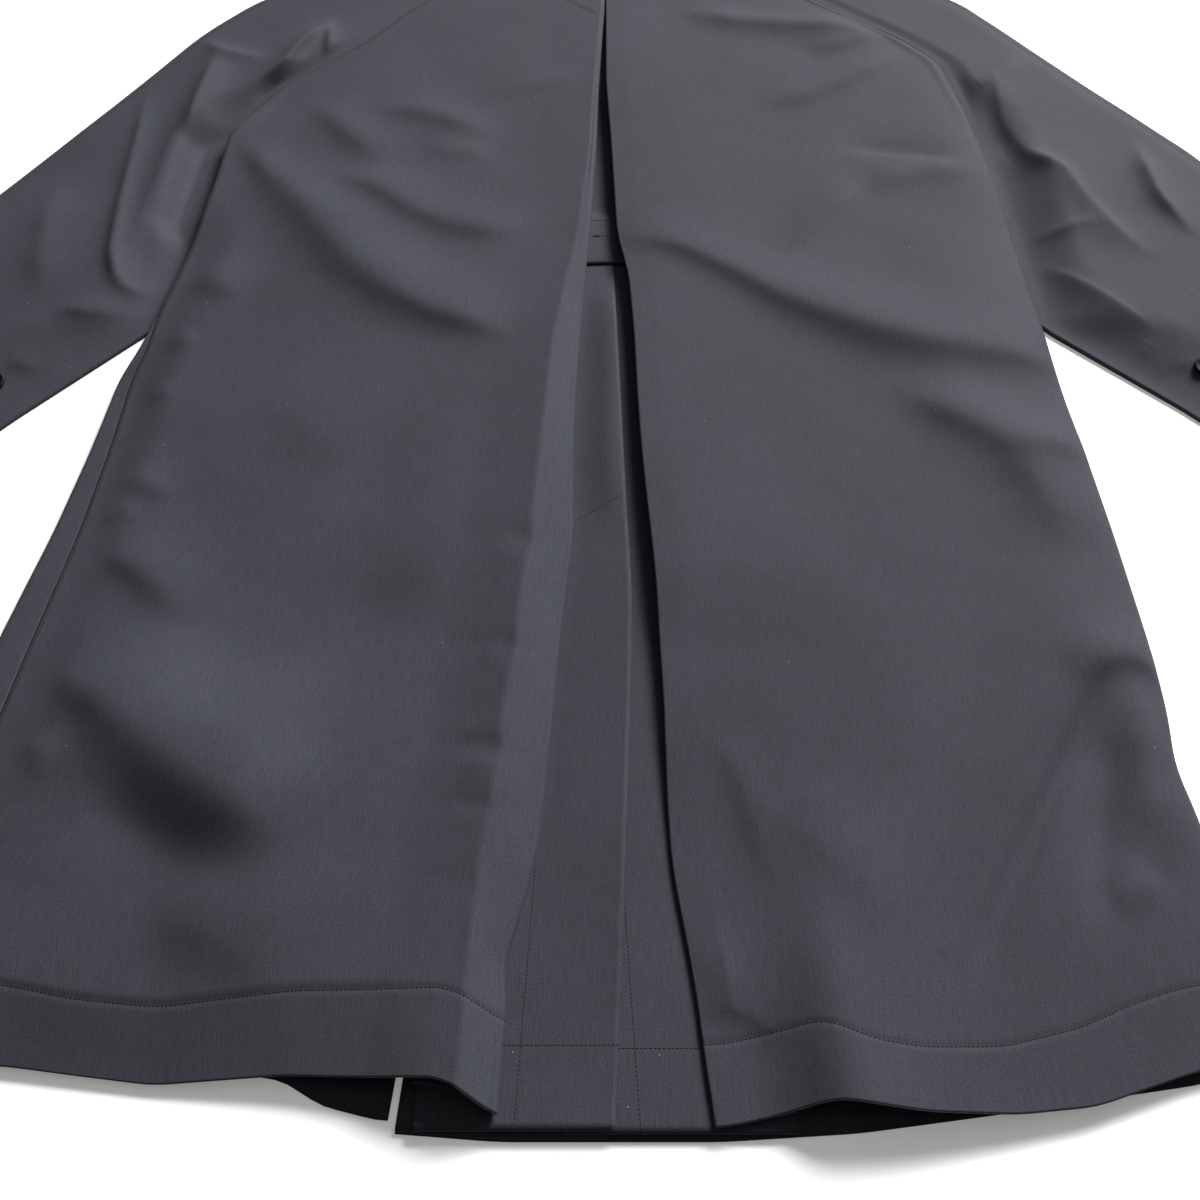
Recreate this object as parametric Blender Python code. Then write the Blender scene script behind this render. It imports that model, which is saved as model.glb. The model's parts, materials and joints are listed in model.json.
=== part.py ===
"""Raglan coat with an inverted pleat down its back, laid flat face down.

Run with: blender --background --python part.py

Sizes are in millimetres on the laid coat: X to the photo's right, Y from hem to collar with 0 at
the side seams' hem, Z up from the surface that it lies on. Each piece of cloth is a grid whose
points are moved onto a formula of two numbers, u across and v along, and then thickened.
"""

import math

import bmesh
import bpy
import numpy as np

MM = 0.001
CLOTH = 1.2
SEAM_GAP = 0.3
STACK = CLOTH + SEAM_GAP

UNDERARM_Y = 755.0
NECK_Y = 1085.0
FRONT_NECK_Y = 985.0
SIDE_ROWS = 24
RAGLAN_ROWS = 12
RAGLAN_STEP = (NECK_Y - UNDERARM_Y) / RAGLAN_ROWS
BACK_ROWS = SIDE_ROWS + RAGLAN_ROWS
FRONT_ROWS = SIDE_ROWS + RAGLAN_ROWS - 1
SLEEVE_ROWS = 2 * RAGLAN_ROWS
BACK_FLOAT = 15.0
NECK_HEIGHT = 13.6
TUCK_LIFT = 5.0
NECK_LIFT = 2.8
PLEAT_RETURN = 40.0
FACING_WIDTH = 105.0
BUTTON_RADIUS = 7.5
BUTTON_THICK = 2.6


def table(names, *rows):
    """A short table as one array for each named column."""
    return dict(zip(names.split(), np.array(rows, float).T))


BODY_EDGE = table(
    "y left right",
    (-40, -409, 345),
    (135, -386, 339),
    (165, -382, 334),
    (205, -378, 339),
    (260, -372, 340),
    (405, -355, 335),
    (480, -345, 330),
    (571, -330, 325),
    (640, -320, 323),
    (755, -310, 318),
    (900, -310, 318),
)
RAGLAN = table(
    "y left right",
    (755, -307, 318),
    (783, -297, 315),
    (820, -281, 308),
    (859, -241, 300),
    (894, -207, 272),
    (931, -183, 230),
    (985, -138, 172),
    (1085, -70, 70),
)
SIDE_SEAM_INSET = table(
    "y inset roll",
    (0, 32, 6.0),
    (200, 25, 6.0),
    (300, 21, 5.5),
    (480, 10, 3.2),
    (560, 5.5, 2.2),
    (900, 5.5, 2.2),
)
PLEAT = table(
    "y crease left right",
    (-40, -70, -51, 58),
    (46, -67, -47, 47),
    (88, -66, -40, 43),
    (148, -60, -31, 39),
    (288, -48, -22, 35),
    (370, -42, -18, 32),
    (513, -33, -17, 25),
    (567, -26, -13, 21),
    (624, -19, -8, 13),
    (738, -10, -3, 9),
    (823, -8, -1, 5),
    (952, -3, 4.8, 5.2),
    (1100, -3, 4.8, 5.2),
)
CREASE_HEIGHT = table(
    "y z",
    (0, 23),
    (300, 22),
    (500, 20),
    (624, 19),
    (800, 18),
    (930, 16.5),
    (1000, 14.6),
)
BACK_HEM = table(
    "x y z",
    (-420, 4, 12),
    (-373, 2, 12),
    (-299, -2, 9.5),
    (-224, -11, 8),
    (-157, -8, 17),
    (-78, -12, 23),
    (-50, -28, 14),
    (58, -32, 13),
    (75, -29, 17),
    (113, -21, 26),
    (159, -26, 14),
    (205, -26, 7),
    (245, -22, 6.5),
    (300, -5, 8.5),
    (345, 2, 8.5),
)
FRONT_LEFT_HEM = table(
    "x y",
    (-410, 5),
    (-300, 3),
    (-200, -2),
    (-160, -8),
    (-139, -20),
    (-110, -27),
)
FRONT_RIGHT_HEM = table(
    "x y",
    (-104, -33),
    (-50, -37),
    (60, -37),
    (128, -33),
    (200, -24),
    (301, -10),
    (341, 0),
)
FRONT_EDGE = table(
    "y x gap",
    (-40, -109, 6),
    (0, -105, 4),
    (100, -95, 2),
    (300, -76, 0.8),
    (1000, -8, 0.6),
)
VENT_EDGE = table(
    "y x",
    (-40, 7),
    (88, 13),
    (214, 18),
    (288, 20),
    (370, 17),
    (680, 8),
)
FLAPS = table(
    "left right hem top z",
    (-92, 20, -33, 640, 4.9),
    (-18, 98, -34, 636, 3.2),
)
SLEEVE_OUTER = table(
    "along left_x left_y right_x right_y",
    (0.0, -80, 1100, 80, 1100),
    (0.33, -316, 973, 330, 973),
    (0.42, -362, 914, 367, 920),
    (0.74, -487, 686, 500, 731),
    (1.0, -590, 505, 590, 520),
)
SLEEVE_INNER = table(
    "along left_x left_y right_x right_y",
    (0.5, -307, 755, 318, 755),
    (0.59, -280, 690, 285, 690),
    (0.68, -277, 625, 281, 625),
    (0.79, -328, 537, 328, 534),
    (0.93, -415, 439, 418, 446),
    (1.0, -450, 393, 462, 392),
)
SLEEVE_BORDER = table(
    "y left right z",
    (380, -460, 472, 2.7),
    (439, -415, 424, 2.7),
    (535, -330, 328, 3.0),
    (640, -314, 323, 4.2),
    (755, -308, 318, 4.2),
    (820, -281, 308, 8.0),
    (894, -207, 272, 13.0),
    (985, -138, 172, 13.6),
    (1100, -70, 70, 13.6),
)
FOLDS = table(
    "fold x y half height",
    (1, -307, 748, 12, 2.5),
    (1, -266, 700, 18, 6.0),
    (1, -235, 664, 20, 7.5),
    (1, -188, 598, 20, 7.5),
    (1, -122, 544, 16, 5.5),
    (1, -51, 508, 12, 2.0),
    (2, -231, 713, 13, 3.0),
    (2, -147, 658, 13, 4.2),
    (2, -85, 634, 12, 3.5),
    (2, -43, 647, 12, 2.0),
    (3, -332, 319, 10, 3.0),
    (3, -291, 302, 12, 4.0),
    (3, -249, 256, 13, 1.5),
    (4, -342, 222, 14, 4.0),
    (4, -296, 205, 22, 8.0),
    (4, -254, 172, 26, 10.0),
    (4, -198, 137, 24, 8.0),
    (4, -163, 103, 15, 2.5),
    (5, -253, 87, 16, 2.5),
    (5, -222, 83, 21, 6.0),
    (5, -199, 73, 20, 6.0),
    (5, -156, 36, 14, 2.0),
    (6, -252, 193, 20, -2.0),
    (6, -204, 239, 26, -4.0),
    (6, -155, 267, 26, -4.0),
    (6, -98, 304, 22, -2.0),
    (7, 5, 631, 11, 2.0),
    (7, 108, 583, 13, 5.0),
    (7, 170, 544, 17, 7.0),
    (7, 246, 513, 18, 7.0),
    (7, 329, 495, 12, 3.5),
    (8, 199, 471, 12, 2.0),
    (8, 260, 433, 16, 6.0),
    (8, 331, 414, 12, 4.0),
    (9, 268, 422, 16, 2.5),
    (9, 297, 377, 18, 4.5),
    (9, 311, 315, 17, 2.0),
    (10, 199, 692, 11, 2.0),
    (10, 227, 697, 14, 3.5),
    (10, 328, 716, 11, 2.0),
    (11, 275, 222, 9, 2.0),
    (11, 325, 244, 10, 5.0),
    (11, 345, 233, 9, 3.5),
    (12, 331, 233, 13, 3.5),
    (12, 326, 185, 14, 5.0),
    (12, 315, 140, 14, 4.0),
    (12, 297, 95, 13, 1.5),
    (13, 312, 222, 13, -2.0),
    (13, 294, 178, 14, -3.5),
    (13, 244, 82, 14, -1.5),
    (14, 53, 197, 10, 2.0),
    (14, 86, 156, 10, 3.5),
    (14, 98, 101, 10, 2.0),
)
SLEEVE_FOLDS = table(
    "fold x y half height",
    (1, -391, 882, 12, 3.0),
    (1, -376, 727, 13, 6.5),
    (1, -375, 624, 12, 6.0),
    (1, -360, 577, 10, 2.0),
    (2, -368, 568, 8, 2.0),
    (2, -338, 580, 9, 4.0),
    (2, -307, 597, 9, 3.0),
    (3, 338, 827, 11, 2.5),
    (3, 375, 713, 13, 5.5),
    (3, 406, 637, 12, 5.0),
    (3, 440, 602, 10, 2.0),
    (4, 316, 616, 8, 2.5),
    (4, 376, 559, 8, 4.5),
    (4, 409, 516, 7, 2.5),
    (5, 470, 750, 9, 2.0),
    (5, 465, 661, 9, 3.5),
    (5, 479, 623, 9, 2.0),
)
SLEEVE_BUTTONS = table(
    "hand x y",
    (-1, -433, 473),
    (1, 435, 486),
)
COLLAR = table(
    "part back_y side_x side_y front_x front_y",
    (0, 1038, 128, 1078, 46, 905),
    (1, 1118, 80, 1130, 4, 1010),
    (2, 1085.4, 76, 1104, 4, 987),
)

COLLAR_MIDDLE = 8.2
FALL_REACH = 8.2
STAND_REACH = 4.2
COLLAR_ROLL = 0.5 * (FALL_REACH - STAND_REACH)


def ramp(t):
    """0 to 1 with a soft start and end."""
    t = np.clip(t, 0, 1)
    return t * t * (3 - 2 * t)


def along(rows, name, at, by="y", blur=14.0):
    """A column of a table read between its rows, with the corners rounded over the blur."""
    shifts = np.linspace(-blur, blur, 7)
    return sum(np.interp(at + shift, rows[by], rows[name]) for shift in shifts) / len(shifts)


def fold_height(rows, x, y):
    """Ridges, and troughs where the height is negative, each along the points that share its number."""
    total = np.zeros_like(x)
    for fold in np.unique(rows["fold"]):
        line = np.column_stack([rows[name][rows["fold"] == fold] for name in ("x", "y", "half", "height")])
        nearest = np.full_like(x, np.inf)
        value = np.zeros_like(x)
        for start, end in zip(line[:-1], line[1:]):
            run_x, run_y = (end - start)[:2]
            t = ((x - start[0]) * run_x + (y - start[1]) * run_y) / (run_x**2 + run_y**2)
            t = np.clip(t, 0, 1)
            gap = np.hypot(x - start[0] - t * run_x, y - start[1] - t * run_y)
            half = start[2] + (end[2] - start[2]) * t
            height = start[3] + (end[3] - start[3]) * t
            value = np.where(gap < nearest, height * np.exp(-((gap / half) ** 2)), value)
            nearest = np.minimum(gap, nearest)
        total += value
    return total


def side_of(hand):
    return "left" if hand < 0 else "right"


def front_lift(x, y):
    """How far the fronts rise off the surface: over the tucked sleeves and over the collar."""
    edge = np.where(x < 0, -along(BODY_EDGE, "left", y), along(BODY_EDGE, "right", y))
    beside = ramp((140 - (edge - np.abs(x))) / 65)
    tuck = ramp((y - 450) / 75) * ramp((860 - y) / 80) * beside
    return TUCK_LIFT * tuck + NECK_LIFT * ramp((y - 830) / 90)


def side_height(y, hand):
    """The back's height at its outer edge: side seam first, then raglan seam."""
    roll = along(SIDE_SEAM_INSET, "roll", y)
    if hand < 0:
        seam = front_lift(along(BODY_EDGE, "left", y), np.minimum(y, UNDERARM_Y)) + 2 * roll
    else:
        seam = front_lift(along(BODY_EDGE, "right", y), np.minimum(y, UNDERARM_Y)) + STACK + CLOTH
    return seam + (NECK_HEIGHT - seam) * ramp((y - UNDERARM_Y) / 120)


def back_outer_x(y, hand):
    edge = along(BODY_EDGE, side_of(hand), y)
    if hand < 0:
        edge = edge + along(SIDE_SEAM_INSET, "inset", y)
    return np.where(y < UNDERARM_Y, edge, along(RAGLAN, side_of(hand), y, blur=8))


def outer_row(v, rows):
    """A panel's rows meet its neighbours' rows at the side seam and then up the raglan seam."""
    row = v * rows
    side = UNDERARM_Y * row / SIDE_ROWS
    return np.where(row < SIDE_ROWS, side, UNDERARM_Y + RAGLAN_STEP * (row - SIDE_ROWS))


def hem_fade(v):
    """The turned hem keeps its shape; above it the hem's rise and fall dies away."""
    return np.clip(1 - (v - 0.042) / 0.26, 0, 1) ** 2


def return_height(y, hand):
    """The pleat's turned-under layer rises where the upper underlay passes below it."""
    low = 6.4 if hand < 0 else 4.8 + 4.2 * ramp((y - 30) / 150)
    high = 8.1 if hand < 0 else 8.1 + 1.5 * ramp((1000 - y) / 60)
    return low + (high - low) * ramp((y - 555) / 45)


def back_height(x, y):
    height = BACK_FLOAT + fold_height(FOLDS, x, y)
    height += (NECK_HEIGHT - height) * ramp((y - 985) / 60)
    height += (along(BACK_HEM, "z", x, by="x", blur=8) - height) * ramp((150 - y) / 165)
    return height


def back_panel(u, v, hand):
    """Side or raglan seam, face, pressed crease, pleat fold, and the return under it."""
    face_end, strip_end, roll_end = 20 / 27, 22 / 27, 26 / 27
    y_out = outer_row(v, BACK_ROWS)
    y_in = v * NECK_Y
    x_out = back_outer_x(y_out, hand)
    y_fold = y_in - 29 * hem_fade(v)
    radius = 3.0 + 0.6 * ramp((500 - y_fold) / 300)
    edge = along(PLEAT, side_of(hand), y_fold)
    roll_x = edge + hand * radius
    crease = along(PLEAT, "crease", y_fold) if hand < 0 else roll_x + 5
    under = return_height(y_fold, hand)
    rise = 0.7 + 2.3 * ramp((1000 - y_fold) / 80)
    crease_z = along(CREASE_HEIGHT, "z", y_fold) if hand < 0 else under + 2 * radius + rise

    s = np.clip(u / face_end, 0, 1)
    x = x_out + (crease - x_out) * s
    y = y_out + (y_in - y_out) * s
    inside = np.abs(x - x_out)
    z = back_height(x, y)
    border = side_height(y_out, hand)
    reach = np.where((hand > 0) & (y_out < UNDERARM_Y), 18.0, 38.0)
    near = np.clip(inside / reach, 0, 1)
    z = border + (z - border) * np.where(hand > 0, np.sqrt(1 - (1 - near) ** 2), ramp(near))
    z = z + (crease_z - z) * (1 - ramp(np.abs(crease - x) / 34))

    s = np.clip((u - face_end) / (strip_end - face_end), 0, 1)
    x = x + (roll_x - x) * s
    z = z + (under + 2 * radius - z) * s

    angle = math.pi * np.clip((u - strip_end) / (roll_end - strip_end), 0, 1)
    x = x - hand * radius * np.sin(angle)
    z = z - radius * (1 - np.cos(angle))
    x = x + hand * PLEAT_RETURN * np.clip((u - roll_end) / (1 - roll_end), 0, 1)
    y = y + along(BACK_HEM, "y", x, by="x", blur=8) * hem_fade(v)
    return x, y, z


def front_left(u, v):
    """From the front edge along the surface, round the body's left edge and up to the side seam."""
    flat_end, roll_end = 6 / 12, 10 / 12
    y_in = v * FRONT_NECK_Y
    y_out = outer_row(v, FRONT_ROWS)
    radius = along(SIDE_SEAM_INSET, "roll", y_out)
    slack = SEAM_GAP * (1 + 4 * ramp((y_out - 600) / 80))
    strip = along(SIDE_SEAM_INSET, "inset", y_out) - radius - slack
    turned = ramp((UNDERARM_Y - y_out) / 40)
    angle = math.pi * np.maximum(turned, 0.01)
    arc = math.pi * radius
    bend = arc / angle
    border = along(BODY_EDGE, "left", y_out)
    border = np.where(y_out < UNDERARM_Y, border, along(RAGLAN, "left", y_out, blur=8))
    start = border + (arc + strip) * (1 - turned) + radius * turned

    s = np.clip(u / flat_end, 0, 1)
    inner = along(FRONT_EDGE, "x", y_in)
    x = inner + (start - inner) * s
    y = y_in + (y_out - y_in) * s
    y = y - 22 * 4 * s * (1 - s) * ramp((v - 0.85) / 0.15)
    turn = angle * np.clip((u - flat_end) / (roll_end - flat_end), 0, 1)
    x = x - bend * np.sin(turn)
    curl = bend * (1 - np.cos(turn))
    s = np.clip((u - roll_end) / (1 - roll_end), 0, 1) * strip
    x = x - s * np.cos(angle)
    curl = curl + s * np.sin(angle)
    base = front_lift(np.minimum(x, inner), y)
    base = np.where(u > flat_end, front_lift(start, y_out), base)
    y = y + along(FRONT_LEFT_HEM, "y", x, by="x", blur=5) * hem_fade(v)
    return x, y, base + curl


def front_right(u, v):
    y_in = v * FRONT_NECK_Y
    y_out = outer_row(v, FRONT_ROWS)
    border = along(BODY_EDGE, "right", y_out) - 1
    border = np.where(y_out < UNDERARM_Y, border, along(RAGLAN, "right", y_out, blur=8))
    inner = along(FRONT_EDGE, "x", y_in) + along(FRONT_EDGE, "gap", y_in)
    x = border + (inner - border) * u
    y = y_out + (y_in - y_out) * u
    y = y - 22 * 4 * u * (1 - u) * ramp((v - 0.85) / 0.15)
    y = y + along(FRONT_RIGHT_HEM, "y", x, by="x", blur=8) * hem_fade(v)
    return x, y, front_lift(x, y)


def facing_right(u, v):
    """The strip inside the right front's edge, whose inner edge shows at the hem."""
    y = v * (FRONT_NECK_Y - 42)
    x = along(FRONT_EDGE, "x", y) + along(FRONT_EDGE, "gap", y) + FACING_WIDTH * u
    y = y + (along(FRONT_RIGHT_HEM, "y", x, by="x", blur=8) + 1) * hem_fade(v)
    return x, y, front_lift(x, y) + STACK + CLOTH + 0.5 * ramp((y - 780) / 60)


def vent_flap(u, v, row):
    left, right, hem, top, z = (FLAPS[name][row] for name in FLAPS)
    y = hem + (top - hem) * v
    far = along(VENT_EDGE, "x", y) if row == 0 else right
    return left + (far - left) * u, y, np.full_like(u, z + CLOTH)


def upper_underlay(u, v):
    """It laps over the flaps, sags behind the pleat, and rises again over the facing."""
    y = 605 + 395 * v
    sag = 3.2 * ramp((y - 650) / 45) * ramp((850 - y) / 50)
    return -45 + 90 * u, y, 6.4 + CLOTH - sag


def sleeve_plan(s, v, hand):
    """Across the sleeve from its outer edge to its inner one, and along it from neck to cuff."""
    side = side_of(hand)
    outer = [along(SLEEVE_OUTER, f"{side}_{axis}", v, by="along", blur=0.03) for axis in "xy"]
    inner = [along(SLEEVE_INNER, f"{side}_{axis}", v, by="along", blur=0.015) for axis in "xy"]
    seam_y = NECK_Y - (NECK_Y - UNDERARM_Y) * 2 * v
    on_seam = seam_y > UNDERARM_Y - 1
    inner[0] = np.where(on_seam, along(RAGLAN, side, seam_y, blur=8), inner[0]) + hand * 2 * SEAM_GAP
    inner[1] = np.where(on_seam, seam_y, inner[1])
    return [a + (b - a) * s for a, b in zip(outer, inner)]


def sleeve_front(u, v, hand):
    x, y = sleeve_plan(u, v, hand)
    return x, y, NECK_LIFT * ramp((y - 830) / 90)


def sleeve_back_height(s, v, x, y, hand):
    low = NECK_LIFT * ramp((y - 830) / 90) + STACK + CLOTH
    border = along(SLEEVE_BORDER, "z", y, blur=8)
    beyond = hand * (x - along(SLEEVE_BORDER, side_of(hand), y, blur=8)) - 6
    puff = 15 - 4 * ramp((v - 0.85) / 0.15)
    puff = puff + (NECK_HEIGHT - puff) * ramp((y - 960) / 80)
    puff = puff + fold_height(SLEEVE_FOLDS, x, y) * ramp((960 - y) / 80)
    z = border + (puff - border) * ramp(beyond / 42)
    width = np.hypot(*np.subtract(sleeve_plan(0 * s, v, hand), sleeve_plan(0 * s + 1, v, hand)))
    rim = np.clip(s * width / np.minimum(30, 0.6 * width), 0, 1)
    return low + np.maximum(z - low, 0) * np.sqrt(1 - (1 - rim) ** 2)


def sleeve_back(u, v, hand):
    x, y = sleeve_plan(u, v, hand)
    return x, y, sleeve_back_height(u, v, x, y, hand)


def collar(u, v):
    """Round the flattened neck from one front end to the other, and from fall edge to stand."""
    fold, turn_end = 0.5, 0.8
    t = np.interp(v, (0, fold, turn_end, 1), (0, 1, 1, 2))
    back_y, side_x, side_y, front_x, front_y = (
        np.interp(t, COLLAR["part"], COLLAR[name]) for name in list(COLLAR)[1:]
    )
    turn = math.pi * np.clip((v - fold) / (turn_end - fold), 0, 1)
    reach = STAND_REACH + COLLAR_ROLL * (1 + np.cos(turn))
    push = COLLAR_ROLL * np.sin(turn)

    hand = np.where(u < 0.5, -1.0, 1.0)
    q = np.abs(u - 0.5) * 2
    over = np.clip(q / 0.42, 0, 1)
    wrap = math.pi * np.clip((q - 0.42) / 0.2, 0, 1)
    below = np.clip((q - 0.62) / 0.38, 0, 1)

    slope = np.clip(1 - v / fold, 0, 1)
    out_x = 1 - 0.55 * slope
    out_y = 0.9 * slope
    end_x = -8 + hand * front_x
    x = hand * side_x * over
    y = back_y + (side_y - back_y) * over**2
    x = x + (end_x - x) * below + hand * out_x * reach * np.sin(wrap)
    y = y + (front_y - y) * below**1.2 + out_y * reach * np.sin(wrap) + push
    return x, y, COLLAR_MIDDLE + reach * np.cos(wrap)


def cloth_material(name, colour, roughness):
    material = bpy.data.materials.new(name)
    material.use_nodes = True
    shader = material.node_tree.nodes["Principled BSDF"]
    shader.inputs["Base Color"].default_value = (*colour, 1)
    shader.inputs["Roughness"].default_value = roughness
    return material


def sheet(name, shape, across, lengthways, outside, colour):
    """A grid moved onto its shape and thickened inwards; outside is 1 for up, -1 for down, at u = 0."""
    work = bmesh.new()
    bmesh.ops.create_grid(work, x_segments=across, y_segments=lengthways, size=1)
    mesh = bpy.data.meshes.new(name)
    work.to_mesh(mesh)
    work.free()
    points = np.empty(len(mesh.vertices) * 3)
    mesh.vertices.foreach_get("co", points)
    u, v = (points.reshape(-1, 3)[:, :2].T + 1) / 2
    mesh.vertices.foreach_set("co", np.column_stack(shape(u, v)).ravel() * MM)
    mesh.update()
    first = min(mesh.polygons, key=lambda face: np.hypot(u[face.vertices[0]], v[face.vertices[0]] - 0.2))
    if first.normal.z * outside < 0:
        mesh.flip_normals()
    thing = bpy.data.objects.new(name, mesh)
    bpy.context.collection.objects.link(thing)
    mesh.materials.append(cloth_material(name + "_wool", colour, 0.85))
    wall = thing.modifiers.new("cloth thickness", "SOLIDIFY")
    wall.thickness = CLOTH * MM
    wall.offset = -1
    return thing


def sleeve_button(name, x, y, hand):
    """A disc seated on the sleeve's back and tilted with it."""
    across = np.linspace(0, 1, 200)
    run = np.linspace(0.5, 1, 200)
    s, v = (grid.ravel() for grid in np.meshgrid(across, run))
    plan_x, plan_y, height = sleeve_back(s, v, hand)
    gap = np.hypot(plan_x - x, plan_y - y)
    under = gap < BUTTON_RADIUS + 2
    ground = np.column_stack([plan_x[under] - x, plan_y[under] - y, np.ones(under.sum())])
    lean_x, lean_y, level = np.linalg.lstsq(ground, height[under], rcond=None)[0]
    proud = (height[under] - ground @ (lean_x, lean_y, level)).max()
    work = bmesh.new()
    bmesh.ops.create_cone(
        work,
        cap_ends=True,
        segments=24,
        radius1=BUTTON_RADIUS * MM,
        radius2=0.9 * BUTTON_RADIUS * MM,
        depth=BUTTON_THICK * MM,
    )
    mesh = bpy.data.meshes.new(name)
    work.to_mesh(mesh)
    work.free()
    mesh.materials.append(cloth_material(name + "_resin", (0.012, 0.008, 0.010), 0.35))
    thing = bpy.data.objects.new(name, mesh)
    bpy.context.collection.objects.link(thing)
    lift = level + proud + SEAM_GAP + BUTTON_THICK / 2
    thing.location = (x * MM, y * MM, lift * MM)
    thing.rotation_euler = (math.atan(lean_y), -math.atan(lean_x), 0)
    return thing


def build():
    for thing in list(bpy.data.objects):
        bpy.data.objects.remove(thing, do_unlink=True)
    face = (0.060, 0.062, 0.072)
    shade = (0.045, 0.046, 0.054)
    made = [
        sheet("front_left", front_left, 12, FRONT_ROWS, -1, shade),
        sheet("front_right", front_right, 8, FRONT_ROWS, -1, shade),
        sheet("facing_right", facing_right, 4, 16, 1, shade),
        sheet("vent_flap_left", lambda u, v: vent_flap(u, v, 0), 3, 14, 1, face),
        sheet("vent_flap_right", lambda u, v: vent_flap(u, v, 1), 3, 14, 1, face),
        sheet("pleat_underlay", upper_underlay, 2, 24, 1, shade),
        sheet("collar", collar, 30, 10, -1, face),
    ]
    for hand in (-1, 1):
        side = side_of(hand)
        made += [
            sheet(f"back_{side}", lambda u, v: back_panel(u, v, hand), 27, BACK_ROWS, 1, face),
            sheet(f"sleeve_back_{side}", lambda u, v: sleeve_back(u, v, hand), 10, SLEEVE_ROWS, 1, face),
            sheet(f"sleeve_front_{side}", lambda u, v: sleeve_front(u, v, hand), 5, SLEEVE_ROWS, -1, shade),
        ]
    for hand, x, y in zip(*SLEEVE_BUTTONS.values()):
        made.append(sleeve_button(f"sleeve_button_{side_of(hand)}", x, y, hand))

    bpy.context.view_layer.update()
    corners = np.array([thing.matrix_world @ point.co for thing in made for point in thing.data.vertices])
    middle = (corners.min(axis=0) + corners.max(axis=0)) / 2
    coat = bpy.data.objects.new("coat", None)
    bpy.context.collection.objects.link(coat)
    for thing in made:
        thing.parent = coat
    coat.location = (-middle[0], -middle[1], -corners[:, 2].min())
    print("laid coat moved by", [round(value / MM, 2) for value in coat.location], "mm")


build()
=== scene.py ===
# %% [markdown]
# # A raglan coat, laid face down
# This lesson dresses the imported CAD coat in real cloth. The CAD holds every panel as a coarse wall;
# here each panel becomes a fine sheet with its creases, and then gets its sewing, buttons and wool.
# The frame comes first, because every piece has to sit where the CAD says.

import json
import math

import bmesh
import bpy
import numpy as np
from mathutils import Matrix, Vector


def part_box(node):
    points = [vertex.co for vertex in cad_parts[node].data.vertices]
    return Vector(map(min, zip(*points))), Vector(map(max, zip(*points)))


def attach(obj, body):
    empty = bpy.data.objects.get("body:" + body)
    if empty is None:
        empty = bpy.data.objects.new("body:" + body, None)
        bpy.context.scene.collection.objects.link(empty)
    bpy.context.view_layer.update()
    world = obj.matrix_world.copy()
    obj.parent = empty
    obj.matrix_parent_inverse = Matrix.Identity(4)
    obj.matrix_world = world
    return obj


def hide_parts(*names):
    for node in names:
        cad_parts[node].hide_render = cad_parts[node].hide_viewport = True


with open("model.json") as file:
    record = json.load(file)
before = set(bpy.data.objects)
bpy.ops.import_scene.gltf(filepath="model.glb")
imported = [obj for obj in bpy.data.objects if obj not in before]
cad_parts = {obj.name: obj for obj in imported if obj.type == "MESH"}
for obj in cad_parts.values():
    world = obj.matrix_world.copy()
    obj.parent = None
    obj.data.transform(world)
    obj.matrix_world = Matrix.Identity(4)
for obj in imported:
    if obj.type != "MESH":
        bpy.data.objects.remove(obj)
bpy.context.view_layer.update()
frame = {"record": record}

# %% [markdown]
# A pattern cutter measures from the hem and the centre back, so the tables below are in millimetres
# from there: x to the right, y from hem to collar, z up from the table. The mount under the coat has
# a known place on that pattern, and it gives the one shift from pattern to row frame.

# %% From pattern millimetres to the row frame
MM = 0.001
MOUNT_ON_PATTERN = np.array([100.0, 300.0, 0.0])
SHIFT = np.array(frame["record"]["mounts"][0]["pos_m"]) - MOUNT_ON_PATTERN * MM
DETAIL = 1.0


def table(names, *rows):
    """A short table as one array for each named column."""
    return dict(zip(names.split(), np.array(rows, float).T))


def placed(*axes):
    """Pattern millimetres as row-frame metres."""
    return np.stack(axes, axis=-1) * MM + SHIFT


print("pattern shift", SHIFT.round(5))

# %% [markdown]
# The photo was taken from above the hem, looking down at 55 degrees. The spread of the weave and of the
# pleat fixes that, and the same camera later reads each crease of the photo back onto the pattern.

# %% Where the photo was taken from
CAMERA_ON_PATTERN = (0.0, -177.3, 664.1)
CAMERA_PITCH = math.radians(55)
PHOTO_SIZE, LENS_MM, SENSOR_MM = 1200, 38.2, 36.0
FOCAL_PX = LENS_MM / SENSOR_MM * PHOTO_SIZE
print("focal length", round(FOCAL_PX), "pixels")

# %% [markdown]
# Cloth edges and creases are never straight lines with corners. Each table is read between its rows
# with the corners rounded, and each crease is a soft ridge along a line, with its own width and height.
# A line is drawn over the photo and then set back onto the pattern at the height of its own crest. That
# gives control over every crease that shows, which a cloth simulation would not.

# %% Reading tables
BLUR, FINE_BLUR, BLUR_SAMPLES = 14.0, 8.0, 7


def ramp(t):
    """0 to 1 with a soft start and end."""
    t = np.clip(t, 0, 1)
    return t * t * (3 - 2 * t)


def rising(at, start, length):
    """0 up to a start, then a soft climb to 1 over a length."""
    return ramp((at - start) / length)


def falling(at, end, length):
    """1 until a length before an end, then a soft fall to 0 at it."""
    return ramp((end - at) / length)


def between(at, start, rise, end, fall):
    """1 between a start and an end, with soft slopes of the given lengths inside them."""
    return rising(at, start, rise) * falling(at, end, fall)


def along(rows, name, at, by="y", blur=BLUR):
    """A column of a table read between its rows, with the corners rounded over the blur."""
    shifts = np.linspace(-blur, blur, BLUR_SAMPLES)
    return sum(np.interp(at + shift, rows[by], rows[name]) for shift in shifts) / len(shifts)


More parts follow.
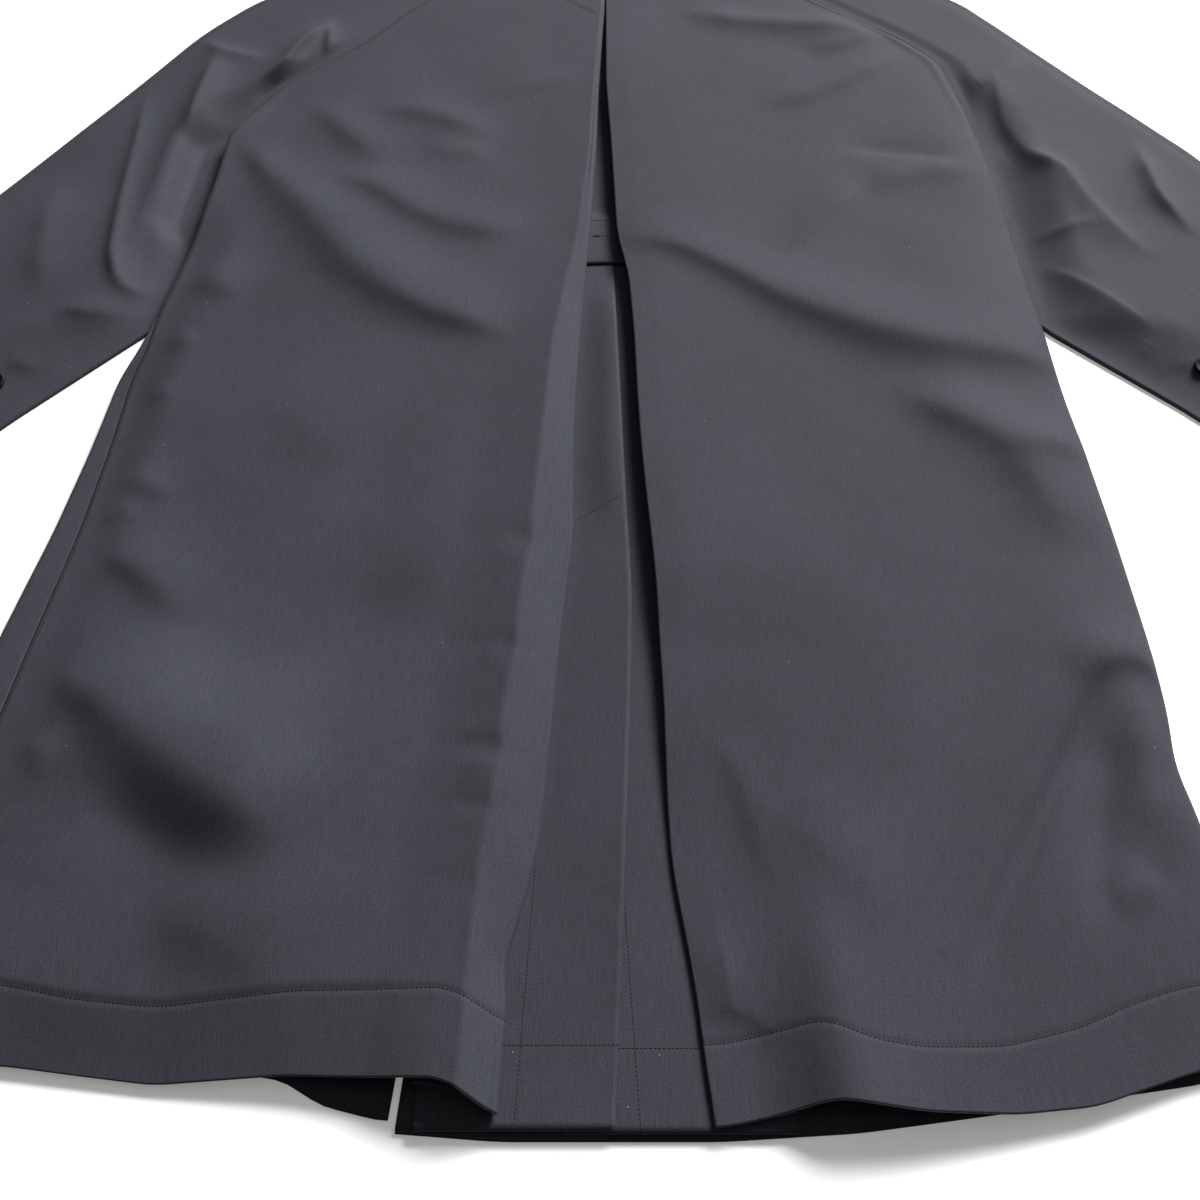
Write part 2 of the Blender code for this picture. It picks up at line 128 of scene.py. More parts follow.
def from_photo(px, py, height):
    """The pattern point, at a height above the table, that the photo shows at a pixel."""
    down = CAMERA_PITCH + np.arctan((py - PHOTO_SIZE / 2) / FOCAL_PX)
    drop = CAMERA_ON_PATTERN[2] - height
    reach = drop / np.tan(down)
    depth = math.cos(CAMERA_PITCH) * reach + math.sin(CAMERA_PITCH) * drop
    return (px - PHOTO_SIZE / 2) / FOCAL_PX * depth, reach + CAMERA_ON_PATTERN[1]


REST_HEIGHT = 15.0
centre = from_photo(PHOTO_SIZE / 2, PHOTO_SIZE / 2, REST_HEIGHT)
print("the photo's middle shows the back", round(float(centre[1])), "mm above the hem")

# %% [markdown]
# A fold in wool has a rounded crest and two slopes that run out, and each side has its own reach. So the
# height falls off with the distance from a smoothed line, and every point of the cloth takes its share of
# the line's nearest parts. That leaves no steps, even where a crease bends. Between the creases the cloth
# is never dead flat, and a few long shallow waves give it that.

# %% Adding creases and waves
NEAR_SPREAD, FAR_SPREAD = 1.25, 3.2
CREASE_STEP, CREASE_BLUR, CREASE_SOFT, CREST_WIDTH = 6.0, 10.0, 4.0, 8.0
FADE_LENGTH, FADE_SHARE, FALL_POWER, LEAST_POINTS = 60.0, 0.4, 3, 8
WAVES, WAVE_LENGTHS, LENGTH_TO_HEIGHT = 9, (45, 150), 900


def crease_line(points, length):
    """The points of one crease as a close, smooth row that dies out at both ends."""
    walk = np.linspace(0, length, max(LEAST_POINTS, round(length / CREASE_STEP)))
    line = {name: along(points, name, walk, by="walk", blur=CREASE_BLUR) for name in points}
    fade = min(FADE_LENGTH, FADE_SHARE * length)
    line["tall"] *= ramp(walk / fade) * ramp((length - walk) / fade)
    return line


def creases(rows, strength, sharp, x, y):
    """The height that creases add: ridges, or troughs where the table's height is negative."""
    total = np.zeros_like(x)
    for fold in np.unique(rows["fold"]):
        chosen = rows["fold"] == fold
        px, py, near, far, height = (rows[name][chosen] for name in list(rows)[1:])
        points = dict(zip("xy", from_photo(px, py, REST_HEIGHT + strength * np.maximum(height, 0))))
        points |= {"near": near * NEAR_SPREAD, "far": far * FAR_SPREAD, "tall": strength * height}
        points["walk"] = np.r_[0, np.hypot(np.diff(points["x"]), np.diff(points["y"])).cumsum()]
        line = crease_line(points, points["walk"][-1])
        way = np.stack([np.gradient(line["x"]), np.gradient(line["y"])])
        way /= np.hypot(*way)
        gap_x, gap_y = x[..., None] - line["x"], y[..., None] - line["y"]
        gap = gap_x**2 + gap_y**2
        share = (gap + CREASE_SOFT**2) ** -2
        share *= share
        share /= share.sum(axis=-1, keepdims=True)
        beyond = (share * (way[0] * gap_y - way[1] * gap_x)).sum(axis=-1)
        half = share @ line["near"]
        half = half + (share @ line["far"] - half) * ramp(0.5 + beyond / CREST_WIDTH)
        past_ends = np.sqrt(np.maximum(gap.min(axis=-1) - (CREASE_STEP / 2) ** 2, 0))
        away = np.maximum(np.abs(beyond), past_ends) / half
        total += (share @ line["tall"]) * (1 + away**sharp) ** (-FALL_POWER / sharp)
    return total


def unevenness(x, y, seed):
    """A few long shallow waves in mixed directions."""
    rng = np.random.default_rng(seed)
    total = np.zeros_like(x)
    for _ in range(WAVES):
        turn, phase = rng.uniform(0, 2 * math.pi, 2)
        length = rng.uniform(*WAVE_LENGTHS)
        walked = x * math.cos(turn) + y * math.sin(turn)
        total += np.sin(walked * 2 * math.pi / length + phase) * length / LENGTH_TO_HEIGHT
    return total


print("crease lines are followed every", CREASE_STEP, "mm")

# %% [markdown]
# The outline tables are the CAD's, with the body's left edge and the pleat read more finely from the
# photo: the body's edges, the raglan seams that run from the underarm to the neck, the pleat that opens
# towards the hem, the pinches of its pressed ridge, and the hem's rise and fall. The tuck is how far the
# sewing line of the hem is drawn down where the hem tilts.

# %% Outline of body and pleat
CLOTH = 1.2
SEAM_GAP = 0.3
STACK = CLOTH + SEAM_GAP
UNDERARM_Y, NECK_Y, FRONT_NECK_Y = 755.0, 1085.0, 985.0
UNDERARM_ROW = 16 / 24

BODY_EDGE = table(
    "y left right",
    (-40, -409, 345),
    (135, -386, 339),
    (165, -382, 334),
    (205, -377, 339),
    (250, -371, 340),
    (337, -358, 338),
    (405, -351, 335),
    (476, -346, 330),
    (505, -336, 328),
    (540, -330, 327),
    (571, -323, 325),
    (640, -314, 323),
    (690, -310, 323),
    (755, -309, 318),
    (900, -309, 318),
)
RAGLAN = table(
    "y left right",
    (755, -307, 318),
    (783, -297, 315),
    (820, -281, 308),
    (859, -241, 300),
    (894, -207, 272),
    (931, -183, 230),
    (985, -138, 172),
    (1085, -70, 70),
)
SIDE_SEAM_INSET = table(
    "y inset roll lap",
    (0, 32, 6.0, 0),
    (200, 25, 6.0, 0),
    (300, 21, 5.5, 0),
    (480, 10, 3.2, 0),
    (560, 5.5, 2.2, 5.5),
    (900, 5.5, 2.2, 5.5),
)
PLEAT = table(
    "y crease left right",
    (-40, -70, -51, 57.5),
    (6, -68.5, -48.5, 52.1),
    (24, -68, -47.8, 50.8),
    (43, -67, -51, 48.6),
    (60, -66.7, -46, 46.2),
    (82, -66.2, -40.5, 42.6),
    (106, -64.2, -35.2, 39.2),
    (140, -60.8, -31.5, 37.8),
    (208, -55, -27, 37.4),
    (250, -51, -24.6, 36),
    (290, -48, -20.8, 34.9),
    (326, -45.2, -17.3, 32.7),
    (366, -42.3, -17.6, 29.8),
    (413, -39.3, -18.2, 27.2),
    (458, -36.5, -17, 25.7),
    (510, -33.2, -15, 24.6),
    (575, -24, -11.6, 21.4),
    (624, -16, -8, 13),
    (738, -7, -3, 9),
    (823, -4.2, -1, 5),
    (952, 1.8, 4.8, 5.2),
    (1100, 1.8, 4.8, 5.2),
)
CREASE_KINKS = table(
    "y push dip reach",
    (321, 2.4, -1.1, 11),
    (240, 2.2, -1.2, 8),
    (168, 2.8, -1.4, 7),
    (130, 1.8, -0.9, 6),
    (78, 1.0, -0.4, 8),
)
CREASE_HEIGHT = table(
    "y z",
    (0, 23),
    (300, 22),
    (500, 20),
    (624, 19),
    (800, 18),
    (930, 16.5),
    (1000, 14.6),
)
BACK_HEM = table(
    "x y z",
    (-420, 4, 12),
    (-373, 2, 13),
    (-299, -2, 12),
    (-224, -11, 11.5),
    (-157, -8, 18),
    (-78, -12, 23),
    (-50, -28, 14),
    (58, -32, 13),
    (75, -29, 17),
    (113, -21, 26),
    (159, -26, 19),
    (205, -26, 12),
    (245, -22, 9),
    (300, -5, 8.5),
    (345, 2, 8.5),
)
HEM_TUCK = table(
    "x tuck",
    (-340, 0),
    (-272, 5.5),
    (-235, 4.5),
    (-200, 2),
    (-150, -1),
    (-79, -5),
    (-54, -7),
    (20, 0),
    (75, 0),
    (110, 1),
    (136, 9),
    (163, 10),
    (201, 9),
    (245, 3),
    (272, 0),
)
HEM_DROP = table("x drop", (-420, 7), (-130, 7), (-78, 2), (58, 0), (345, 0))
FRONT_LEFT_HEM = table(
    "x y",
    (-410, 5),
    (-300, 3),
    (-200, -2),
    (-160, -8),
    (-139, -20),
    (-110, -27),
)
FRONT_RIGHT_HEM = table(
    "x y",
    (-104, -33),
    (-50, -37),
    (60, -37),
    (128, -33),
    (200, -24),
    (301, -10),
    (341, 0),
)
FRONT_EDGE = table(
    "y x gap",
    (-40, -109, 6),
    (0, -105, 4),
    (100, -95, 2),
    (300, -76, 0.8),
    (1000, -8, 0.6),
)
VENT_EDGE = table(
    "y x",
    (-40, 7),
    (88, 13),
    (214, 18),
    (288, 20),
    (370, 17),
    (680, 8),
)
print("tables for", len(BODY_EDGE["y"]), "body rows and", len(PLEAT["y"]), "pleat rows")

# %% [markdown]
# The creases are read off the photo one by one. The light comes from the far end, so the far side of a
# ridge is bright and its near side dark: a crest lies between the two, with a width of its own each way.

# %% Creases of the back
BACK_CREASES = table(
    "fold px py near far height",
    (1, 205, 112, 6, 4, 1.2),
    (1, 236, 141, 8, 5, 2.0),
    (1, 273, 172, 15, 9, 3.6),
    (1, 305, 200, 21, 13, 5.4),
    (1, 355, 257, 22, 16, 6.0),
    (1, 393, 284, 18, 16, 5.5),
    (1, 436, 306, 14, 16, 4.8),
    (1, 491, 322, 11, 14, 3.6),
    (1, 530, 340, 9, 12, 2.0),
    (2, 306, 92, 12, 10, 2.4),
    (2, 349, 129, 13, 10, 2.8),
    (2, 394, 166, 12, 10, 2.2),
    (3, 318, 164, 12, 12, 2.4),
    (3, 382, 186, 12, 12, 3.2),
    (3, 415, 207, 12, 12, 3.4),
    (3, 453, 221, 12, 12, 3.2),
    (3, 491, 227, 11, 12, 2.8),
    (3, 545, 216, 10, 12, 2.0),
    (4, 362, 104, 10, 8, 1.8),
    (4, 425, 110, 11, 8, 2.2),
    (4, 464, 122, 11, 8, 2.2),
    (4, 508, 134, 10, 8, 1.8),
    (5, 415, 148, 9, 8, 1.3),
    (5, 500, 153, 9, 8, 1.3),
    (6, 462, 98, 9, 6, 0.7),
    (6, 532, 84, 10, 6, 1.3),
    (6, 600, 62, 10, 6, 1.0),
    (9, 178, 264, 12, 10, 2.0),
    (9, 215, 280, 13, 10, 2.4),
    (9, 252, 296, 12, 10, 1.8),
    (10, 158, 346, 7, 6, 1.4),
    (10, 200, 328, 8, 6, 1.4),
    (11, 138, 396, 6, 5, 1.0),
    (11, 180, 386, 6, 5, 1.0),
    (12, 106, 466, 8, 6, 1.3),
    (12, 150, 484, 8, 6, 1.5),
    (12, 182, 503, 8, 6, 1.1),
    (13, 84, 517, 7, 6, 1.3),
    (13, 144, 503, 7, 6, 1.2),
    (14, 82, 546, 7, 9, 2.4),
    (14, 112, 550, 9, 11, 3.2),
    (14, 140, 568, 10, 12, 3.0),
    (14, 172, 596, 12, 12, 2.4),
    (14, 194, 628, 12, 12, 1.6),
    (15, 246, 376, 22, 20, 1.6),
    (15, 305, 415, 26, 22, 2.0),
    (15, 368, 470, 26, 22, 1.6),
    (16, 20, 668, 8, 10, 2.6),
    (16, 60, 668, 12, 14, 4.6),
    (16, 100, 690, 20, 20, 6.4),
    (16, 140, 722, 27, 22, 8.0),
    (16, 190, 756, 29, 24, 8.8),
    (16, 240, 788, 26, 24, 8.4),
    (16, 275, 815, 20, 20, 7.0),
    (16, 298, 856, 12, 14, 4.0),
    (17, 14, 728, 7, 6, 0.9),
    (17, 40, 757, 7, 6, 1.2),
    (17, 56, 784, 7, 6, 0.8),
    (51, 60, 760, 16, 7, -1.2),
    (51, 120, 812, 20, 8, -2.2),
    (51, 180, 848, 20, 8, -2.4),
    (51, 240, 872, 18, 8, -2.0),
    (51, 300, 894, 14, 7, -0.8),
    (18, 128, 890, 14, 20, 3.2),
    (18, 185, 898, 18, 24, 5.2),
    (18, 225, 915, 18, 24, 5.4),
    (18, 255, 940, 16, 22, 4.4),
    (18, 296, 984, 12, 16, 2.4),
    (19, 116, 1038, 5, 6, 1.6),
    (19, 168, 1082, 5, 6, 1.8),
    (20, 92, 1014, 5, 5, 1.2),
    (20, 130, 1032, 5, 5, 1.2),
    (21, 168, 718, 20, 18, -2.4),
    (21, 262, 652, 26, 24, -3.2),
    (21, 349, 614, 28, 24, -3.2),
    (21, 446, 566, 24, 22, -2.4),
    (22, 478, 664, 6, 4, 0.8),
    (22, 512, 640, 6, 4, 1.4),
    (23, 468, 776, 6, 4, 0.8),
    (23, 502, 746, 6, 4, 1.5),
    (24, 488, 566, 7, 5, 0.8),
    (24, 530, 536, 7, 5, 1.4),
    (31, 606, 229, 9, 12, 2.2),
    (31, 682, 245, 10, 13, 2.8),
    (31, 742, 270, 12, 14, 3.8),
    (31, 785, 291, 14, 15, 4.6),
    (31, 829, 306, 17, 16, 5.4),
    (31, 884, 322, 20, 16, 6.0),
    (31, 938, 335, 20, 16, 5.6),
    (31, 993, 344, 17, 15, 4.8),
    (31, 1056, 352, 13, 12, 4.4),
    (31, 1120, 366, 12, 12, 3.6),
    (32, 880, 376, 12, 10, 2.0),
    (32, 935, 398, 16, 12, 4.0),
    (32, 975, 416, 18, 13, 4.8),
    (32, 1015, 435, 18, 12, 5.0),
    (32, 1084, 436, 12, 9, 4.4),
    (32, 1140, 440, 12, 9, 3.6),
    (33, 990, 428, 18, 14, 2.6),
    (33, 1045, 478, 20, 16, 3.6),
    (33, 1086, 552, 18, 16, 2.4),
    (34, 780, 258, 7, 8, 1.5),
    (34, 840, 200, 7, 8, 2.2),
    (34, 872, 170, 7, 8, 2.0),
    (35, 846, 180, 12, 8, 2.0),
    (35, 880, 176, 18, 9, 3.0),
    (35, 915, 168, 16, 9, 2.6),
    (35, 1000, 162, 12, 8, 2.0),
    (36, 750, 106, 9, 8, 1.8),
    (36, 795, 95, 11, 8, 2.4),
    (36, 835, 80, 11, 8, 2.8),
    (36, 865, 66, 10, 8, 2.8),
    (36, 912, 44, 9, 8, 2.2),
    (37, 800, 52, 8, 7, 1.6),
    (37, 850, 40, 9, 7, 2.2),
    (37, 892, 26, 8, 7, 2.0),
    (38, 668, 6, 12, 7, 2.0),
    (38, 731, 17, 13, 7, 3.0),
    (38, 780, 20, 13, 7, 3.2),
    (38, 835, 23, 12, 7, 3.0),
    (38, 884, 34, 10, 7, 2.4),
    (39, 1060, 676, 9, 9, 2.0),
    (39, 1102, 656, 9, 10, 3.4),
    (39, 1135, 645, 8, 10, 4.2),
    (39, 1172, 660, 7, 9, 4.2),
    (39, 1220, 690, 7, 9, 3.0),
    (40, 1150, 660, 14, 12, 3.4),
    (40, 1162, 730, 16, 12, 4.2),
    (40, 1162, 800, 16, 12, 3.6),
    (40, 1150, 876, 14, 12, 2.0),
    (41, 1132, 680, 12, 5, -2.2),
    (41, 1110, 745, 13, 6, -4.4),
    (41, 1100, 812, 13, 6, -4.6),
    (41, 1094, 880, 12, 6, -2.6),
    (41, 1082, 940, 12, 5, -0.8),
    (42, 1120, 648, 8, 2.6, -1.6),
    (42, 1070, 745, 8, 3, -3.6),
    (42, 1025, 825, 8, 3, -3.6),
    (42, 975, 915, 8, 3, -2.4),
    (42, 936, 985, 8, 2.6, -1.0),
    (43, 1072, 672, 10, 4, -0.6),
    (43, 1012, 780, 11, 4, -1.0),
    (43, 930, 925, 10, 4, -0.6),
    (44, 1104, 884, 10, 9, 1.8),
    (44, 1172, 868, 10, 9, 2.0),
    (45, 690, 706, 8, 6, 0.8),
    (45, 738, 748, 8, 6, 1.3),
    (45, 752, 790, 8, 6, 1.3),
    (45, 766, 832, 8, 6, 1.1),
    (45, 792, 884, 8, 6, 0.6),
    (46, 650, 898, 5, 6, 3.4),
    (46, 690, 916, 6, 7, 4.6),
    (46, 726, 938, 6, 8, 4.4),
    (46, 760, 958, 7, 8, 3.4),
    (46, 812, 1000, 8, 8, 1.8),
    (47, 740, 762, 14, 14, 1.2),
    (47, 818, 816, 16, 16, 1.6),
    (47, 935, 906, 16, 16, 1.2),
    (48, 1110, 1004, 5, 5, 1.1),
    (48, 1122, 1056, 5, 5, 1.1),
    (49, 1010, 1062, 5, 5, 1.2),
    (49, 1036, 1092, 5, 5, 1.2),
    (50, 820, 142, 6, 5, -0.8),
    (50, 870, 149, 6, 6, -1.8),
    (50, 935, 156, 6, 6, -2.0),
    (50, 985, 160, 6, 5, -1.2),
)
SLEEVE_CREASES = table(
    "fold px py near far height",
    (1, 222, 36, 10, 8, 3.5),
    (1, 198, 92, 12, 8, 7.5),
    (1, 179, 140, 13, 8, 9.0),
    (1, 164, 186, 13, 7, 9.0),
    (1, 156, 226, 12, 7, 7.0),
    (1, 153, 266, 10, 7, 3.5),
    (2, 150, 82, 5, 4, 0.8),
    (2, 138, 130, 6, 4, 2.0),
    (2, 126, 176, 7, 4, 3.0),
    (2, 115, 224, 7, 4, 3.6),
    (2, 110, 252, 7, 4, 3.8),
    (2, 118, 280, 7, 4, 3.8),
    (2, 142, 280, 6, 4, 3.6),
    (2, 172, 266, 6, 4, 3.4),
    (2, 204, 250, 6, 4, 2.6),
    (3, 218, 148, 7, 4, 1.6),
    (3, 196, 178, 7, 4, 3.4),
    (3, 178, 204, 7, 4, 4.0),
    (3, 172, 226, 7, 4, 3.6),
    (3, 180, 244, 6, 4, 2.6),
    (3, 204, 246, 6, 4, 1.4),
    (4, -8, 350, 6, 6, 2.2),
    (4, 30, 355, 7, 6, 3.0),
    (4, 68, 362, 6, 6, 2.0),
    (5, 62, 170, 16, 10, 1.5),
    (5, 46, 214, 18, 10, 2.5),
    (5, 38, 262, 16, 10, 2.5),
    (5, 46, 306, 12, 9, 1.8),
    (6, 194, 30, 9, 5, 1.2),
    (6, 220, 50, 12, 5, 2.4),
    (6, 248, 56, 13, 5, 2.6),
    (6, 280, 58, 12, 5, 2.0),
    (7, 216, 146, 5, 4, 4.2),
    (7, 250, 102, 6, 5, 6.4),
    (7, 272, 74, 6, 6, 6.2),
    (7, 298, 42, 6, 6, 6.4),
    (7, 326, 18, 6, 6, 5.0),
    (7, 350, 6, 6, 6, 2.0),
    (8, 330, 16, 4, 4, 1.4),
    (8, 329, 40, 4, 4, 2.6),
    (8, 326, 64, 4, 4, 1.4),
    (9, 46, 305, 6, 6, 1.5),
    (9, 90, 308, 7, 7, 2.2),
    (9, 140, 300, 7, 7, 1.8),
    (11, 950, 92, 10, 6, 0.4),
    (11, 974, 86, 10, 6, 0.9),
    (11, 996, 78, 9, 6, 1.4),
    (11, 1012, 64, 8, 5, 1.6),
    (11, 1020, 44, 8, 5, 0.8),
    (12, 982, 90, 8, 6, -1.6),
    (12, 990, 118, 9, 7, -3.4),
    (12, 1008, 146, 9, 7, -3.4),
    (12, 1030, 170, 8, 7, -1.6),
    (13, 992, 62, 10, 5, 1.6),
    (13, 1004, 110, 11, 5, 3.6),
    (13, 1032, 148, 13, 5, 4.8),
    (13, 1062, 162, 18, 4, 4.6),
    (13, 1090, 198, 22, 4, 4.2),
    (13, 1120, 228, 20, 4, 3.6),
    (13, 1170, 260, 16, 4, 2.4),
    (14, 1134, 128, 9, 5, 2.2),
    (14, 1146, 162, 10, 5, 4.4),
    (14, 1160, 192, 10, 5, 4.6),
    (14, 1184, 218, 9, 5, 3.6),
    (14, 1212, 246, 8, 5, 2.0),
    (15, 986, 230, 14, 2.2, 1.2),
    (15, 1058, 262, 17, 2.2, 2.0),
    (15, 1104, 291, 17, 2.2, 2.2),
    (15, 1140, 314, 14, 2.2, 2.0),
    (15, 1176, 338, 10, 2.2, 1.2),
    (16, 1158, 326, 4, 4, 1.8),
    (16, 1143, 352, 4, 4, 2.4),
    (16, 1145, 380, 4, 4, 1.6),
    (17, 1000, 230, 7, 3, 1.6),
    (17, 1052, 227, 8, 3, 2.2),
    (17, 1112, 217, 7, 3, 1.4),
    (18, 1136, 364, 5, 6, 1.8),
    (18, 1170, 358, 5, 6, 2.4),
    (18, 1214, 352, 5, 6, 2.0),
    (19, 1136, 379, 5, 5, 1.4),
    (19, 1206, 377, 5, 5, 1.6),
)
for place, rows in (("back", BACK_CREASES), ("sleeves", SLEEVE_CREASES)):
    print(len(set(rows["fold"])), "creases on the", place)

# %% [markdown]
# The coat lies on its fronts, so each layer's height starts from the table: fronts first, raised where
# the sleeves are tucked under them, then underlay and flaps, then the two back panels over all of it.

# %% Heights of the layers
# A pair is where a slope starts or ends and how long it is. Four values are two such pairs.
TUCK_LIFT, NECK_LIFT, NECK_HEIGHT = 5.0, 2.8, 13.6
TUCKED_Y, TUCKED_WIDTH, COLLAR_Y = (450, 75, 860, 80), (140, 65), (830, 90)
UNDERARM_BULGE, UNDERARM_BULGE_Y = 6.0, (600, 70, 815, 60)
LAP_RISE, RAGLAN_SLOPE = 0.3, 120
HEM_ROW, HEM_FADE_ROWS = 0.042, 0.26
V_STOPS, ROW_STOPS = (0, 0.2, 1), (0, 0.05, 1)


def side_of(hand):
    """The name of a side of the photo; hand is -1 for left and 1 for right."""
    return "left" if hand < 0 else "right"


def collar_lift(y):
    """The lowest layer rises off the surface over the collar."""
    return NECK_LIFT * rising(y, *COLLAR_Y)


def front_lift(x, y):
    """How far the fronts rise off the surface: over the tucked sleeves and over the collar."""
    edge = np.where(x < 0, -along(BODY_EDGE, "left", y), along(BODY_EDGE, "right", y))
    beside = falling(edge - np.abs(x), *TUCKED_WIDTH)
    return TUCK_LIFT * between(y, *TUCKED_Y) * beside + collar_lift(y)


def underarm_lift(y):
    """The left side seam bulges up where the sleeve pushes under it."""
    return UNDERARM_BULGE * between(y, *UNDERARM_BULGE_Y)


def side_height(y, hand):
    """The back's height at its outer edge: side seam first, then raglan seam."""
    edge = along(BODY_EDGE, side_of(hand), y)
    over = STACK + CLOTH
    if hand < 0:
        lap = LAP_RISE * along(SIDE_SEAM_INSET, "lap", y)
        over = 2 * along(SIDE_SEAM_INSET, "roll", y) + lap + underarm_lift(y)
    seam = front_lift(edge, np.minimum(y, UNDERARM_Y)) + over
    return seam + (NECK_HEIGHT - seam) * rising(y, UNDERARM_Y, RAGLAN_SLOPE)


def back_outer_x(y, hand):
    """Where a back panel ends: at the side seam, and above the underarm at the raglan seam."""
    edge = along(BODY_EDGE, side_of(hand), y)
    if hand < 0:
        edge = edge + along(SIDE_SEAM_INSET, "inset", y) - along(SIDE_SEAM_INSET, "lap", y)
    return np.where(y < UNDERARM_Y, edge, along(RAGLAN, side_of(hand), y, blur=FINE_BLUR))


def outer_y(row):
    """A panel's outer edge follows the side seam first and then the raglan seam."""
    return np.interp(row, (0, UNDERARM_ROW, 1), (0, UNDERARM_Y, NECK_Y))


def hem_fade(row):
    """The turned hem keeps its shape; above it the hem's rise and fall dies away."""
    return np.clip(1 - (row - HEM_ROW) / HEM_FADE_ROWS, 0, 1) ** 2


def hem_rows(v):
    """A fifth of a panel's rows lie in the turned hem, where its sewing pulls at the cloth."""
    return np.interp(v, V_STOPS, ROW_STOPS)


def v_of_row(row):
    """The other way round, for sewing that is placed by its row."""
    return np.interp(row, ROW_STOPS, V_STOPS)


print("side seam height at the hem", side_height(np.array([0.0]), -1).round(1), "mm")

# %% [markdown]
# Each back panel is one piece of cloth: it runs from the side and raglan seam over the back to the
# pleat, turns round the fold and comes back underneath. The left one was pressed beside the fold, so a
# sharp ridge stands there. One formula of u (across) and v (along) carries the sheet round all of that.

# %% Shape of a back panel
CREASE_STRENGTH, BACK_SHARP, BACK_WAVE_SEED = 1.8, 2.0, 3
NECK_SLOPE_Y, HEM_SLOPE_Y, HEM_DROP_Y = (985, 60), (150, 165), 45
FOLD_DROP = 29
RETURN_LOW, RETURN_HIGH, OVER_BAND_Y = {-1: 6.4, 1: 4.9}, {-1: 8.1, 1: 11.2}, (555, 45)
RIGHT_RISES = table("start length rise", (110, 120, 5.5), (230, 80, 5.0))
RIGHT_TOP_RISE, RIGHT_TOP_Y = 3.9, (980, 120)
RIGHT_CREASE_INSET, RIGHT_CREASE_RISE, RIGHT_CREASE_Y = 16, 0.4, (1000, 80)


def back_height(x, y):
    """The height that the back rests at, and what its creases add to it."""
    at_neck, at_hem = rising(y, *NECK_SLOPE_Y), falling(y, *HEM_SLOPE_Y)
    rest = REST_HEIGHT + unevenness(x, y, BACK_WAVE_SEED)
    rest += (NECK_HEIGHT - rest) * at_neck
    rest += (along(BACK_HEM, "z", x, by="x", blur=FINE_BLUR) - rest) * at_hem
    rest -= along(HEM_DROP, "drop", x, by="x") * np.clip(1 - y / HEM_DROP_Y, 0, 1)
    folds = creases(BACK_CREASES, CREASE_STRENGTH, BACK_SHARP, x, y)
    return rest, folds * (1 - at_neck) * (1 - at_hem)


def fold_y(row):
    """How far up the pleat's fold a row lies, because the fold sinks with the hem."""
    return row * NECK_Y - FOLD_DROP * hem_fade(row)


def return_height(y, hand):
    """The height of the cloth that comes back under the fold, on the flaps and then on the band."""
    low, high = RETURN_LOW[hand], RETURN_HIGH[hand]
    if hand > 0:
        for rise_y, length, rise in zip(*RIGHT_RISES.values()):
            low = low + rise * rising(y, rise_y, length)
        high = high + RIGHT_TOP_RISE * falling(y, *RIGHT_TOP_Y)
    return low + (high - low) * rising(y, *OVER_BAND_Y)


def pressed_crease(y, hand, roll_x, roll_top):
    """Where the pressed ridge beside the pleat runs, and its height; pinched here and there on the left."""
    if hand > 0:
        return roll_x + RIGHT_CREASE_INSET, roll_top + RIGHT_CREASE_RISE * falling(y, *RIGHT_CREASE_Y)
    x, z = along(PLEAT, "crease", y), along(CREASE_HEIGHT, "z", y)
    for kink_y, push, dip, kink_reach in zip(*CREASE_KINKS.values()):
        kink = np.exp(-(((y - kink_y) / kink_reach) ** 2))
        x = x + push * kink
        z = z + dip * kink
    return x, z


print("the pleat's left fold at the hem lies", return_height(fold_y(0.0), -1), "mm above the table")

# %% [markdown]
# The face is blended from three heights: its outer seam, where it lies on the front, the height that it
# rests at, and the pressed ridge. A seam allowance is pressed under the raglan edge and shows as a low
# welt along it. Past the ridge the sheet runs down a strip to the fold and turns under.

# %% Putting a back panel together
FACE_END, STRIP_END, ROLL_END = 112 / 144, 126 / 144, 138 / 144
FOLD_RADIUS, FOLD_RADIUS_GAIN, FOLD_RADIUS_Y = {-1: 3.0, 1: 1.4}, {-1: 0.6, 1: 0.0}, (500, 300)
PLEAT_RETURN = 40.0
STITCH_LINE_ROW, PULL_ROWS, GROOVE_DEPTH, GROOVE_WIDTH = 0.0365, 0.022, 0.4, 1.6
WELT_INSET, WELT_WIDTH, WELT_HEIGHT, WELT_SLOPE = 7.0, 4.0, 1.1, 40
SEAM_REACH, SEAM_REACH_GAIN, SEAM_REACH_SLOPE = 38.0, {-1: 0.0, 1: 32.0}, 120
RIDGE_WIDTH, RIDGE_WIDTH_GAIN, RIDGE_WIDTH_Y = {-1: 46.0, 1: 60.0}, {-1: 0.0, 1: 70.0}, (40, 120)
RIDGE_POWER = 1.35


